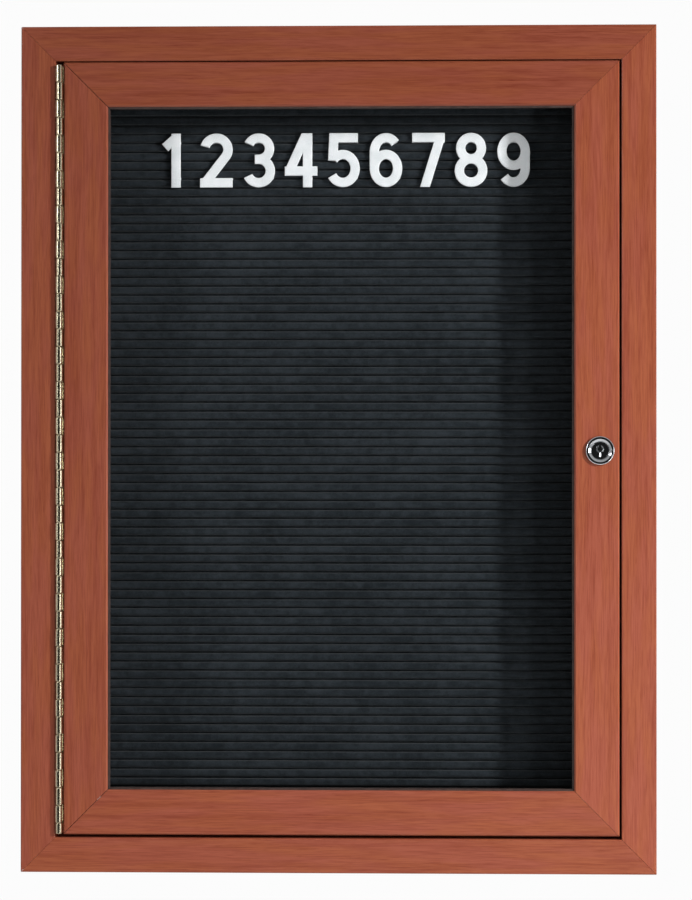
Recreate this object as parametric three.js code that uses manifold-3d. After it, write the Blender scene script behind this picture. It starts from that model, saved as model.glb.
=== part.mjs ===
// Lockable notice board: a wall-hung letter-board cabinet with one glazed door.
// Millimetres. X is to the right, Y runs from the front to the wall, Z is up.
// The origin is the middle of the back, on the wall.

import * as THREE from "three";
import { mergeVertices } from "three/addons/utils/BufferGeometryUtils.js";
import Module from "manifold-3d";

const wasm = await Module();
wasm.setup();

// Cabinet frame: a mitred box section with a door stop and a panel ledge
const cabinetWidth = 457.2;
const cabinetHeight = 609.6;
const cabinetDepth = 50.8;
const frameFace = 25;
const frameWall = 1.6;
const frameChamfer = 0.5;
const mitreGap = 0.2;
const stopReach = 8;
const stopThickness = 1.6;
const ledgeReach = 10;
const ledgeThickness = 1.6;

// Panels behind the ledge
const backPanelThickness = 3.2;
const letterPanelThickness = 6.2;
const panelEdgeGap = 0.4;
const seatGap = 0.1;
const groovePitch = 6.58;
const grooveAboveMiddle = 2;
const grooveWidth = 1.6;
const grooveDepth = 4;
const ridgeChamfer = 0.5;
const grooveEdgeMargin = 3;
const wallHoleRadius = 3.6;
const wallHoleInset = 49;

// Screws that hold the panels to the ledge
const panelScrewRadius = 1.6;
const panelScrewHeadRadius = 3.8;
const panelScrewHeadDepth = 2.2;
const panelScrewLength = 13.2;
const panelScrewPoint = 2;
const panelScrewSink = 0.2;
const panelScrewEnd = 60;
const screwHoleGap = 0.4;
const slotWidth = 1;
const slotDepth = 0.8;

// Door: a mitred box section with a channel for the window
const hingeSideGap = 0.35;
const latchGap = 1.5;
const topGap = 0.7;
const bottomGap = 2.2;
const doorDepth = 19.05;
const doorFace = 32.4;
const doorTube = 24;
const doorWall = 1.6;
const doorChamfer = 1.1;
const rearLipReach = 7;
const rearLipThickness = 1.4;

// Window and its gasket
const paneThickness = 3;
const paneGap = 0.1;
const paneEdgeGap = 0.3;
const gasketWall = 0.7;
const gasketGap = 0.1;
const gasketSight = 1.3;

// Corner keys inside the tubes
const keyThickness = 3;
const keyGap = 0.3;
const keySideGap = 0.6;
const cabinetKeyArm = 45;
const doorKeyArm = 40;

// Piano hinge
const knuckleDiameter = 4.76;
const knucklePitch = 12.7;
const knuckleEndGap = 0.25;
const knuckleBoreRadius = 1.35;
const hingePinRadius = 1;
const knuckleProud = 1.2;
const hingeBottomGap = 0.8;
const hingeTopGap = 2.1;
const leafThickness = 1;
const leafFront = 2.4;
const leafRear = 14;
const hingeScrewCount = 5;
const hingeScrewEnd = 56;
const hingeScrewRadius = 1.5;
const hingeScrewHeadRadius = 3;
const hingeScrewHeadHeight = 0.7;
const hingeScrewLength = 7;

// Stop bumpers
const bumperDiameter = 7.4;
const bumperGap = 0.25;
const bumperStemRadius = 1.8;
const bumperStemTail = 1.6;
const bumperFromEnd = 80;
const stopGap = 4.15;

// Cam lock
const lockInset = 14;
const lockDrop = 1.75;
const bezelRadius = 10.5;
const bezelHeight = 2.4;
const bezelChamfer = 1.1;
const bezelRimRadius = 8.4;
const bezelRecess = 1;
const barrelRadius = 7.9;
const barrelFlat = 7.4;
const barrelTail = 3.2;
const barrelBoreRadius = 6.7;
const barrelHoleGap = 0.3;
const nutFlat = 10;
const nutThickness = 2.6;
const plugRadius = 6.4;
const plugRecess = 1.5;
const keywayWidth = 1.5;
const keywayHeight = 8.6;
const keywayDepth = 9;
const keyholeRadius = 1.9;
const keyholeRaise = 1.2;
const keyRingRadius = 2.7;
const keyRingHeight = 0.5;
const tailHalf = 3;
const camFit = 0.2;
const camStopGap = 0.8;
const camThickness = 2;
const camHalfWidth = 6;
const camReach = 14.2;
const camScrewHeadRadius = 5;
const camScrewHeadHeight = 1.8;
const camScrewRadius = 1.7;
const camScrewBoreGap = 0.3;
const camScrewLength = 7;

// Press-in numerals
const numeralCount = 9;
const numeralWidth = 24;
const numeralHeight = 39.8;
const numeralStroke = 6.9;
const numeralThickness = 2.8;
const numeralGap = 0.3;
const numeralPitch = 31.2;
const numeralRowOffset = 3;
const numeralGroovesDown = 9;
const tabGrooves = 2;
const tabHeight = 1.3;
const tabDepth = 3.2;

// Facets
const smallSides = 12;
const roundSides = 20;
const knuckleSides = 10;
const boreSides = 8;
const curveSteps = 5;
const numeralStepDegrees = 18;
const overrun = 1;

// Planes across the depth, from the front (negative Y) to the wall
const frontY = -cabinetDepth;
const doorRearY = frontY + doorDepth;
const stopFrontY = doorRearY + stopGap;
const stopRearY = stopFrontY + stopThickness;
const backPanelFrontY = -backPanelThickness;
const letterPanelRearY = backPanelFrontY - seatGap;
const letterPanelFrontY = letterPanelRearY - letterPanelThickness;
const ledgeRearY = letterPanelFrontY - seatGap;
const ledgeFrontY = ledgeRearY - ledgeThickness;

// The opening inside the cabinet frame, and the door in it
const openingHalfWidth = cabinetWidth / 2 - frameFace;
const openingHalfHeight = cabinetHeight / 2 - frameFace;
const hingeGap = knuckleDiameter + 2 * hingeSideGap;
const doorLeft = -openingHalfWidth + hingeGap;
const doorRight = openingHalfWidth - latchGap;
const doorBottom = -openingHalfHeight + bottomGap;
const doorTop = openingHalfHeight - topGap;
const doorWidth = doorRight - doorLeft;
const doorHeight = doorTop - doorBottom;
const doorX = (doorLeft + doorRight) / 2;
const doorZ = (doorBottom + doorTop) / 2;

// The channel of the door section: lips, gasket and pane, as depths behind the door's front
const gasketFront = doorWall + gasketGap;
const paneFront = gasketFront + gasketWall + paneGap;
const paneRear = paneFront + paneThickness;
const gasketRear = paneRear + paneGap + gasketWall;
const rearLipFront = gasketRear + gasketGap;
const gasketOuter = doorTube + gasketGap;
const gasketInner = doorFace + gasketSight;
const paneInset = gasketOuter + gasketWall + paneEdgeGap;

// Hinge axis, midway between the stile and the door's edge, just in front of both
const hingeX = -openingHalfWidth + hingeGap / 2;
const hingeY = frontY - knuckleProud;
const knuckleRadius = knuckleDiameter / 2;
const leafMiddleY = frontY + (leafFront + leafRear) / 2;
const hingeBottom = doorBottom + hingeBottomGap;
const hingeTop = doorTop - hingeTopGap;

// Lock axis
const lockX = doorRight - lockInset;
const lockZ = doorZ - lockDrop;
const bezelRearY = frontY - seatGap;
const bezelFrontY = bezelRearY - bezelHeight;
const nutFrontY = doorRearY + seatGap;
const barrelEndY = doorRearY + barrelTail;
const camFrontY = stopRearY + camStopGap;
const camRearY = camFrontY + camThickness;
const plugFrontY = bezelFrontY + plugRecess;
const plugRearY = camFrontY - seatGap;
const camScrewSeatY = camRearY + seatGap;

const finishes = {
  frame: { color: 0x8f4e3a, roughness: 0.45, metalness: 0 },
  letterBoard: { color: 0x17181b, roughness: 0.95, metalness: 0 },
  hardboard: { color: 0x6b4a30, roughness: 0.8, metalness: 0 },
  window: { color: 0xeef4f6, roughness: 0.05, metalness: 0, transparent: true, opacity: 0.2 },
  gasket: { color: 0x9a9896, roughness: 0.6, metalness: 0 },
  brass: { color: 0xb8a164, roughness: 0.35, metalness: 1 },
  chrome: { color: 0xd6d8da, roughness: 0.15, metalness: 1 },
  steel: { color: 0x9ea2a6, roughness: 0.4, metalness: 1 },
  rubber: { color: 0x1b1b1b, roughness: 0.85, metalness: 0 },
  plastic: { color: 0xf2f1ee, roughness: 0.5, metalness: 0 },
};

// Solids

// A closed geometry as a solid, with its shared corners welded and slivers without area dropped.
function toSolid(geometry) {
  const bare = geometry.clone();
  bare.deleteAttribute("normal");
  bare.deleteAttribute("uv");
  const welded = mergeVertices(bare);
  const triangles = [];
  for (let corner = 0; corner < welded.index.count; corner += 3) {
    const [a, b, c] = [0, 1, 2].map((step) => welded.index.getX(corner + step));
    if (a !== b && b !== c && c !== a) triangles.push(a, b, c);
  }
  return new wasm.Manifold(new wasm.Mesh({
    numProp: 3,
    vertProperties: welded.attributes.position.array,
    triVerts: new Uint32Array(triangles),
  }));
}

function toGeometry(solid) {
  const mesh = solid.getMesh();
  const geometry = new THREE.BufferGeometry();
  geometry.setAttribute("position", new THREE.BufferAttribute(mesh.vertProperties, mesh.numProp));
  geometry.setIndex(new THREE.BufferAttribute(mesh.triVerts, 1));
  return geometry;
}

function joined(solids) {
  return solids.reduce((whole, solid) => whole.add(solid));
}

function without(solid, cuts) {
  return cuts.reduce((left, cut) => left.subtract(cut), solid);
}

// A box between two corners.
function block(low, high) {
  const size = high.map((value, axis) => value - low[axis]);
  const middle = high.map((value, axis) => (value + low[axis]) / 2);
  return toSolid(new THREE.BoxGeometry(...size).translate(...middle));
}

// A round bar along Y at x, z.
function barAlongY(radius, x, z, fromY, toY, sides = smallSides) {
  const bar = new THREE.CylinderGeometry(radius, radius, toY - fromY, sides);
  return toSolid(bar.translate(x, (fromY + toY) / 2, z));
}

// A round bar along X at y, z.
function barAlongX(radius, fromX, toX, y, z) {
  const bar = new THREE.CylinderGeometry(radius, radius, toX - fromX, smallSides);
  return toSolid(bar.rotateZ(Math.PI / 2).translate((fromX + toX) / 2, y, z));
}

// A round bar along Z at x, y.
function barAlongZ(radius, x, y, fromZ, toZ, sides) {
  const bar = new THREE.CylinderGeometry(radius, radius, toZ - fromZ, sides);
  return toSolid(bar.rotateX(Math.PI / 2).translate(x, y, (fromZ + toZ) / 2));
}

// An outline in X and Z, given thickness along Y.
function plate(shape, fromY, toY) {
  const settings = { depth: toY - fromY, bevelEnabled: false, curveSegments: curveSteps };
  const geometry = new THREE.ExtrudeGeometry(shape, settings);
  return toSolid(geometry.rotateX(Math.PI / 2).translate(0, toY, 0));
}

// A profile of [radius, y] points turned about the Y axis.
function turned(profile, sides = roundSides) {
  const points = profile.map(([radius, y]) => new THREE.Vector2(radius, y));
  return toSolid(new THREE.LatheGeometry(points, sides));
}

function outline(points) {
  return new THREE.Shape(points.map(([x, y]) => new THREE.Vector2(x, y)));
}

function rectangle(left, right, bottom, top) {
  return outline([[left, bottom], [right, bottom], [right, top], [left, top]]);
}

// Evenly spaced places between two ends, both included.
function spaced(count, from, to) {
  return Array.from({ length: count }, (_, step) => from + (to - from) * step / (count - 1));
}

// Mitred frames

// One rail of a mitred frame, in the frame's own plane: the section's first axis runs inwards
// from the outer face and its second from the front, and each end is cut at 45 degrees.
const railTurns = { bottom: 0, right: -Math.PI / 2, top: Math.PI, left: Math.PI / 2 };

function mitredRail(section, side, width, height, middleX, middleZ) {
  const upright = side === "left" || side === "right";
  const halfRun = (upright ? height : width) / 2 - mitreGap / 2;
  const toOuterFace = (upright ? width : height) / 2;
  const rail = new THREE.ExtrudeGeometry(section, { depth: 1, bevelEnabled: false });
  const corners = rail.attributes.position;
  for (let index = 0; index < corners.count; index += 1) {
    const inward = corners.getX(index);
    const end = corners.getZ(index) > 0 ? -1 : 1;
    corners.setXYZ(index, end * (halfRun - inward), frontY + corners.getY(index), inward - toOuterFace);
  }
  return toSolid(rail.rotateY(railTurns[side]).translate(middleX, 0, middleZ));
}

// The cabinet section: a closed tube, the door stop and the panel ledge.
function cabinetSection() {
  const stopFront = stopFrontY - frontY;
  const stopRear = stopRearY - frontY;
  const ledgeFront = ledgeFrontY - frontY;
  const ledgeRear = ledgeRearY - frontY;
  const section = outline([
    [frameChamfer, 0],
    [frameFace - frameChamfer, 0],
    [frameFace, frameChamfer],
    [frameFace, stopFront],
    [frameFace + stopReach, stopFront],
    [frameFace + stopReach, stopRear],
    [frameFace, stopRear],
    [frameFace, ledgeFront],
    [frameFace + ledgeReach, ledgeFront],
    [frameFace + ledgeReach, ledgeRear],
    [frameFace, ledgeRear],
    [frameFace, cabinetDepth],
    [0, cabinetDepth],
    [0, frameChamfer],
  ]);
  section.holes.push(rectangle(frameWall, frameFace - frameWall, frameWall, cabinetDepth - frameWall));
  return section;
}

// The door section: a closed tube with a front lip and a rear lip that hold the window.
function doorSection() {
  const section = outline([
    [doorChamfer, 0],
    [doorFace - doorChamfer, 0],
    [doorFace, doorChamfer],
    [doorFace, doorWall],
    [doorTube, doorWall],
    [doorTube, rearLipFront],
    [doorTube + rearLipReach, rearLipFront],
    [doorTube + rearLipReach, rearLipFront + rearLipThickness],
    [doorTube, rearLipFront + rearLipThickness],
    [doorTube, doorDepth],
    [0, doorDepth],
    [0, doorChamfer],
  ]);
  section.holes.push(rectangle(doorWall, doorTube - doorWall, doorWall, doorDepth - doorWall));
  return section;
}

// The gasket section: a channel that grips the edge of the pane.
function gasketSection() {
  const slotBottom = gasketOuter + gasketWall;
  return outline([
    [gasketOuter, gasketFront],
    [gasketInner, gasketFront],
    [gasketInner, gasketFront + gasketWall],
    [slotBottom, gasketFront + gasketWall],
    [slotBottom, gasketRear - gasketWall],
    [gasketInner, gasketRear - gasketWall],
    [gasketInner, gasketRear],
    [gasketOuter, gasketRear],
  ]);
}

// An L-shaped key that lies against the outer walls inside a corner, arms along +X and +Z.
function cornerKey(wall, arm, tubeDepth) {
  const near = wall + keyGap;
  const far = near + keyThickness;
  const shape = outline([
    [near, near], [near + arm, near], [near + arm, far], [far, far], [far, near + arm], [near, near + arm],
  ]);
  return toGeometry(plate(shape, frontY + wall + keySideGap, frontY + tubeDepth - wall - keySideGap));
}

// Cabinet pieces

const panelScrewX = cabinetWidth / 2 - frameFace - ledgeReach / 2;
const panelScrewHalfRun = openingHalfHeight - panelScrewEnd;
const panelScrewPlaces = [-panelScrewX, panelScrewX].flatMap(
  (x) => spaced(3, -panelScrewHalfRun, panelScrewHalfRun).map((z) => [x, z]),
);
const bumperX = openingHalfWidth - bumperGap - bumperDiameter / 2;
const bumperHeights = [bumperFromEnd - openingHalfHeight, openingHalfHeight - bumperFromEnd];
const hingeScrewHeights = spaced(hingeScrewCount, hingeBottom + hingeScrewEnd, hingeTop - hingeScrewEnd);

function panelScrewHoles(fromY, toY) {
  const radius = panelScrewRadius + screwHoleGap;
  return panelScrewPlaces.map(([x, z]) => barAlongY(radius, x, z, fromY - overrun, toY + overrun));
}

function cabinetRail(side, cuts = []) {
  const rail = mitredRail(cabinetSection(), side, cabinetWidth, cabinetHeight, 0, 0);
  return toGeometry(without(rail, cuts));
}

function hingeStile() {
  const radius = hingeScrewRadius + screwHoleGap;
  const toX = -openingHalfWidth + overrun;
  const fromX = -openingHalfWidth - frameWall - overrun;
  const hingeHoles = hingeScrewHeights.map((z) => barAlongX(radius, fromX, toX, leafMiddleY, z));
  return cabinetRail("left", [...hingeHoles, ...panelScrewHoles(ledgeFrontY, ledgeRearY)]);
}

function lockStile() {
  const radius = bumperStemRadius + bumperGap;
  const bumperHoles = bumperHeights.map(
    (z) => barAlongY(radius, bumperX, z, stopFrontY - overrun, stopRearY + overrun),
  );
  return cabinetRail("right", [...bumperHoles, ...panelScrewHoles(ledgeFrontY, ledgeRearY)]);
}

function wallHoles(fromY, toY) {
  const x = cabinetWidth / 2 - wallHoleInset;
  const z = cabinetHeight / 2 - wallHoleInset;
  return [[-x, -z], [x, -z], [-x, z], [x, z]].map(
    ([holeX, holeZ]) => barAlongY(wallHoleRadius, holeX, holeZ, fromY - overrun, toY + overrun),
  );
}

function countersink(x, z) {
  const radius = panelScrewHeadRadius + screwHoleGap;
  const fromRadius = panelScrewRadius + screwHoleGap;
  const depth = panelScrewHeadDepth + panelScrewSink;
  const cone = new THREE.CylinderGeometry(radius, fromRadius, depth, smallSides);
  const lip = barAlongY(radius, x, z, 0, overrun);
  return toSolid(cone.translate(x, -depth / 2, z)).add(lip);
}

function backPanel() {
  const halfWidth = openingHalfWidth - panelEdgeGap;
  const halfHeight = openingHalfHeight - panelEdgeGap;
  const panel = block([-halfWidth, backPanelFrontY, -halfHeight], [halfWidth, 0, halfHeight]);
  const sinks = panelScrewPlaces.map(([x, z]) => countersink(x, z));
  const cuts = [...sinks, ...wallHoles(backPanelFrontY, 0), ...panelScrewHoles(backPanelFrontY, 0)];
  return toGeometry(without(panel, cuts));
}

// The groove centres of the letter panel, from the bottom up.
function grooveHeights() {
  const limit = openingHalfHeight - panelEdgeGap - grooveEdgeMargin;
  const lowest = Math.ceil((-limit - grooveAboveMiddle) / groovePitch);
  const highest = Math.floor((limit - grooveAboveMiddle) / groovePitch);
  return Array.from(
    { length: highest - lowest + 1 },
    (_, step) => grooveAboveMiddle + (lowest + step) * groovePitch,
  );
}

// The grooved panel that holds the numerals: one profile of ridges and slots, run along X.
function letterPanel() {
  const halfWidth = openingHalfWidth - panelEdgeGap;
  const halfHeight = openingHalfHeight - panelEdgeGap;
  const halfSlot = grooveWidth / 2;
  const slotFloorY = letterPanelFrontY + grooveDepth;
  const chamferY = letterPanelFrontY + ridgeChamfer;
  const face = grooveHeights().flatMap((z) => [
    [letterPanelFrontY, z - halfSlot - ridgeChamfer],
    [chamferY, z - halfSlot],
    [slotFloorY, z - halfSlot],
    [slotFloorY, z + halfSlot],
    [chamferY, z + halfSlot],
    [letterPanelFrontY, z + halfSlot + ridgeChamfer],
  ]);
  const profile = outline([
    [letterPanelRearY, -halfHeight],
    [letterPanelFrontY, -halfHeight],
    ...face,
    [letterPanelFrontY, halfHeight],
    [letterPanelRearY, halfHeight],
  ]);
  const run = new THREE.ExtrudeGeometry(profile, { depth: 2 * halfWidth, bevelEnabled: false });
  const panel = toSolid(run.translate(0, 0, -halfWidth).rotateX(Math.PI / 2).rotateZ(Math.PI / 2));
  const cuts = [
    ...wallHoles(letterPanelFrontY, letterPanelRearY),
    ...panelScrewHoles(letterPanelFrontY, letterPanelRearY),
  ];
  return toGeometry(without(panel, cuts));
}

// A countersunk screw with a slot, its head flush behind the back panel, pointing to the front.
function panelScrew() {
  const headY = -panelScrewSink;
  const neckY = headY - panelScrewHeadDepth;
  const tipY = headY - panelScrewLength;
  const screw = turned([
    [0, tipY],
    [panelScrewRadius, tipY + panelScrewPoint],
    [panelScrewRadius, neckY],
    [panelScrewHeadRadius, headY],
    [0, headY],
  ], smallSides);
  const half = slotWidth / 2;
  const slot = block([-half, headY - slotDepth, -panelScrewHeadRadius], [half, overrun, panelScrewHeadRadius]);
  return toGeometry(screw.subtract(slot));
}

// A rubber bumper: a head on the front of the door stop and a stem through it.
function doorBumper() {
  const radius = bumperDiameter / 2;
  const headRearY = stopFrontY - seatGap;
  const headFrontY = doorRearY + bumperGap;
  const shoulder = bumperStemRadius;
  return toGeometry(turned([
    [0, headFrontY],
    [radius - bumperGap, headFrontY],
    [radius, headFrontY + bumperGap],
    [radius, headRearY],
    [shoulder, headRearY],
    [shoulder, stopRearY + bumperStemTail],
    [0, stopRearY + bumperStemTail],
  ], smallSides));
}

// Hinge pieces

// A leaf lies against one side of the hinge gap: side -1 is the stile's, side 1 the door's.
function leafFaces(side) {
  const outer = side * (hingeGap / 2 - seatGap);
  const inner = side * (hingeGap / 2 - seatGap - leafThickness);
  return [hingeX + Math.min(outer, inner), hingeX + Math.max(outer, inner)];
}

// The stretches of the knuckles of one leaf. The two leaves take turns from the top down.
function knuckleStretches(first) {
  const stretches = [];
  for (let high = hingeTop - first * knucklePitch; high > hingeBottom; high -= 2 * knucklePitch) {
    const low = Math.max(high - knucklePitch, hingeBottom);
    stretches.push([low + knuckleEndGap, high]);
  }
  return stretches.filter(([low, high]) => high - low > knuckleEndGap);
}

// One rolled knuckle and the web that ties it to its leaf.
function knuckle(side, low, high) {
  const [left, right] = leafFaces(side);
  const web = block([left, hingeY, low], [right, frontY + leafFront + overrun, high]);
  const roll = barAlongZ(knuckleRadius, hingeX, hingeY, low, high, knuckleSides);
  const bore = barAlongZ(knuckleBoreRadius, hingeX, hingeY, low - overrun, high + overrun, boreSides);
  return roll.add(web).subtract(bore);
}

function hingeLeaf(side) {
  const [left, right] = leafFaces(side);
  const sheet = block([left, frontY + leafFront, hingeBottom], [right, frontY + leafRear, hingeTop]);
  const stretches = knuckleStretches(side < 0 ? 0 : 1);
  const rolls = stretches.map(([low, high]) => knuckle(side, low, high));
  const radius = hingeScrewRadius + screwHoleGap;
  const holes = hingeScrewHeights.map(
    (z) => barAlongX(radius, left - overrun, right + overrun, leafMiddleY, z),
  );
  return toGeometry(without(joined([sheet, ...rolls]), holes));
}

function hingePin() {
  return toGeometry(barAlongZ(hingePinRadius, hingeX, hingeY, hingeBottom, hingeTop, boreSides));
}

// A low-headed screw, head on the leaf and shank through the wall behind it, pointing to -X.
function hingeScrew() {
  const under = seatGap;
  const top = under + hingeScrewHeadHeight;
  const profile = turned([
    [0, -hingeScrewLength],
    [hingeScrewRadius, -hingeScrewLength + hingeScrewRadius],
    [hingeScrewRadius, under],
    [hingeScrewHeadRadius, under],
    [hingeScrewHeadRadius - hingeScrewHeadHeight / 2, top],
    [0, top],
  ], smallSides);
  return toGeometry(profile).rotateZ(-Math.PI / 2);
}

// Door pieces

function doorRail(side, cuts = []) {
  const rail = mitredRail(doorSection(), side, doorWidth, doorHeight, doorX, doorZ);
  return toGeometry(without(rail, cuts));
}

function doorHingeStile() {
  const radius = hingeScrewRadius + screwHoleGap;
  return doorRail("left", hingeScrewHeights.map(
    (z) => barAlongX(radius, doorLeft - overrun, doorLeft + doorWall + overrun, leafMiddleY, z),
  ));
}

// A round bar with two flats, as a lock barrel and its hole have.
function flattedBar(radius, flat, fromY, toY) {
  const bar = barAlongY(radius, 0, 0, fromY, toY, roundSides);
  return bar.intersect(block([-flat, fromY, -radius], [flat, toY, radius]));
}

function doorLockStile() {
  const radius = barrelRadius + barrelHoleGap;
  const flat = barrelFlat + barrelHoleGap;
  const hole = flattedBar(radius, flat, frontY - overrun, doorRearY + overrun);
  return doorRail("right", [hole.translate([lockX, 0, lockZ])]);
}

function gasket(side) {
  return toGeometry(mitredRail(gasketSection(), side, doorWidth, doorHeight, doorX, doorZ));
}

function windowPane() {
  const low = [doorLeft + paneInset, frontY + paneFront, doorBottom + paneInset];
  const high = [doorRight - paneInset, frontY + paneRear, doorTop - paneInset];
  return toGeometry(block(low, high));
}

// Lock pieces, made about the Y axis and placed at the lock

function lockBarrel() {
  const bezel = turned([
    [barrelBoreRadius, bezelRearY],
    [bezelRadius, bezelRearY],
    [bezelRadius, bezelFrontY + bezelChamfer],
    [bezelRadius - bezelChamfer, bezelFrontY],
    [bezelRimRadius, bezelFrontY],
    [barrelBoreRadius, bezelFrontY + bezelRecess],
    [barrelBoreRadius, bezelRearY],
  ].reverse());
  const body = flattedBar(barrelRadius, barrelFlat, bezelRearY - seatGap, barrelEndY);
  const bore = barAlongY(barrelBoreRadius, 0, 0, bezelFrontY - overrun, barrelEndY + overrun, roundSides);
  return toGeometry(bezel.add(body.subtract(bore)));
}

function lockNut() {
  const corner = nutFlat / Math.cos(Math.PI / 6);
  const nut = new THREE.CylinderGeometry(corner, corner, nutThickness, 6);
  const hexagon = toSolid(nut.translate(0, nutFrontY + nutThickness / 2, 0));
  const radius = barrelRadius + barrelHoleGap;
  const bore = barAlongY(radius, 0, 0, nutFrontY - overrun, nutFrontY + nutThickness + overrun, roundSides);
  return toGeometry(hexagon.subtract(bore));
}

// The plug turns in the barrel. In front it has a raised ring round a keyhole with an upright slot,
// and behind it a square tail with a screw bore.
function lockPlug() {
  const disc = barAlongY(plugRadius, 0, 0, plugFrontY, plugRearY, roundSides);
  const ringFrontY = plugFrontY - keyRingHeight;
  const ring = barAlongY(keyRingRadius, 0, keyholeRaise, ringFrontY, plugFrontY + overrun);
  const body = disc.add(ring);
  const tail = block([-tailHalf, plugRearY - overrun, -tailHalf], [tailHalf, camRearY, tailHalf]);
  const halfWidth = keywayWidth / 2;
  const halfHeight = keywayHeight / 2;
  const keywayEndY = plugFrontY + keywayDepth;
  const slot = block([-halfWidth, ringFrontY - overrun, -halfHeight], [halfWidth, keywayEndY, halfHeight]);
  const keyhole = barAlongY(keyholeRadius, 0, keyholeRaise, ringFrontY - overrun, keywayEndY);
  const boreRadius = camScrewRadius + camScrewBoreGap;
  const bore = barAlongY(boreRadius, 0, 0, camScrewSeatY - camScrewLength - camScrewBoreGap, camRearY + overrun);
  return toGeometry(without(body.add(tail), [slot, keyhole, bore]));
}

// The cam hangs down when the door is unlocked and points to the stile when it is locked.
function lockCam() {
  const shape = new THREE.Shape();
  shape.moveTo(camHalfWidth, 0);
  shape.absarc(0, 0, camHalfWidth, 0, Math.PI);
  shape.lineTo(-camHalfWidth, camHalfWidth - camReach);
  shape.absarc(0, camHalfWidth - camReach, camHalfWidth, Math.PI, 2 * Math.PI);
  const half = tailHalf + camFit;
  shape.holes.push(rectangle(-half, half, -half, half));
  return toGeometry(plate(shape, camFrontY, camRearY));
}

function camScrew() {
  const tipY = camScrewSeatY - camScrewLength;
  const endY = camScrewSeatY + camScrewHeadHeight;
  const screw = turned([
    [0, tipY],
    [camScrewRadius, tipY],
    [camScrewRadius, camScrewSeatY],
    [camScrewHeadRadius, camScrewSeatY],
    [camScrewHeadRadius, endY],
    [0, endY],
  ]);
  const half = slotWidth / 2;
  const slot = block([-camScrewHeadRadius, endY - slotDepth, -half], [camScrewHeadRadius, endY + overrun, half]);
  return toGeometry(screw.subtract(slot));
}

// Numerals

const numeralZ = Math.max(...grooveHeights()) - numeralGroovesDown * groovePitch;
const numeralRearY = letterPanelFrontY - numeralGap;
const numeralFrontY = numeralRearY - numeralThickness;
const tabEndY = numeralRearY + tabDepth;

// The middle lines of the strokes, as shares of a numeral's width and height from its middle.
// A line is its two ends. An arc is its centre, its two radii and its first and last angle.
const numeralStrokeShares = [
  { lines: [[0.06, -0.5, 0.06, 0.5], [0.06, 0.42, -0.28, 0.24]], arcs: [] },
  { lines: [[0.272, 0.064, -0.34, -0.413], [-0.5, -0.413, 0.5, -0.413]], arcs: [[0, 0.2, 0.356, 0.213, 165, -40]] },
  { lines: [[-0.12, 0.02, 0.02, 0.02]], arcs: [[0, 0.2165, 0.33, 0.1965, 155, -90], [0, -0.1965, 0.356, 0.2165, 90, -155]] },
  { lines: [[0.2, -0.5, 0.2, 0.5], [-0.5, -0.2, 0.5, -0.2], [-0.36, -0.2, 0.15, 0.47]], arcs: [] },
  { lines: [[-0.34, 0.413, 0.44, 0.413], [-0.29, 0.5, -0.33, -0.01]], arcs: [[-0.02, -0.155, 0.376, 0.258, 140, -150]] },
  { lines: [[-0.356, 0.15, -0.356, -0.155]], arcs: [[0, 0.15, 0.356, 0.263, 180, 38], [0, -0.155, 0.356, 0.258, 0, 360]] },
  { lines: [[-0.5, 0.413, 0.5, 0.413], [0.37, 0.43, -0.14, -0.56]], arcs: [] },
  { lines: [], arcs: [[0, 0.215, 0.315, 0.198, 0, 360], [0, -0.198, 0.356, 0.215, 0, 360]] },
  { lines: [[0.356, -0.15, 0.356, 0.155]], arcs: [[0, -0.15, 0.356, 0.263, 0, -142], [0, 0.155, 0.356, 0.258, 0, 360]] },
];

function lineStroke([startX, startZ, endX, endZ]) {
  const start = new THREE.Vector2(startX * numeralWidth, startZ * numeralHeight);
  const end = new THREE.Vector2(endX * numeralWidth, endZ * numeralHeight);
  const along = end.clone().sub(start).normalize().multiplyScalar(numeralStroke / 2);
  return outline([
    [start.x - along.y, start.y + along.x],
    [start.x + along.y, start.y - along.x],
    [end.x + along.y, end.y - along.x],
    [end.x - along.y, end.y + along.x],
  ]);
}

function ellipsePoint(middle, radii, degrees) {
  const angle = THREE.MathUtils.degToRad(degrees);
  return [middle[0] + radii[0] * Math.cos(angle), middle[1] + radii[1] * Math.sin(angle)];
}

function arcStroke([middleX, middleZ, radiusX, radiusZ, from, to]) {
  const middle = [middleX * numeralWidth, middleZ * numeralHeight];
  const radii = [radiusX * numeralWidth, radiusZ * numeralHeight];
  const outer = radii.map((radius) => radius + numeralStroke / 2);
  const inner = radii.map((radius) => radius - numeralStroke / 2);
  const steps = Math.ceil(Math.abs(to - from) / numeralStepDegrees);
  const full = Math.abs(to - from) === 360;
  const angles = spaced(steps + 1, from, to);
  if (full) angles.pop();
  const outside = angles.map((angle) => ellipsePoint(middle, outer, angle));
  const inside = angles.map((angle) => ellipsePoint(middle, inner, angle)).reverse();
  if (!full) return outline([...outside, ...inside]);
  const ring = outline(outside);
  ring.holes.push(outline(inside));
  return ring;
}

// A numeral: its strokes as one plate, with tabs behind that press into two grooves.
function numeral({ lines, arcs }) {
  const strokes = [...lines.map(lineStroke), ...arcs.map(arcStroke)];
  const plates = strokes.map((shape) => plate(shape, numeralFrontY, tabEndY));
  const halfWidth = numeralWidth / 2;
  const halfHeight = numeralHeight / 2;
  const bounds = block([-halfWidth, numeralFrontY, -halfHeight], [halfWidth, tabEndY, halfHeight]);
  const face = block([-halfWidth, numeralFrontY, -halfHeight], [halfWidth, numeralRearY, halfHeight]);
  const tabs = [-tabGrooves, tabGrooves].map((grooves) => {
    const middle = grooves * groovePitch;
    const low = [-halfWidth, numeralRearY - overrun, middle - tabHeight / 2];
    return block(low, [halfWidth, tabEndY, middle + tabHeight / 2]);
  });
  return toGeometry(joined(plates).intersect(bounds).intersect(joined([face, ...tabs])));
}

// The assembly

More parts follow.
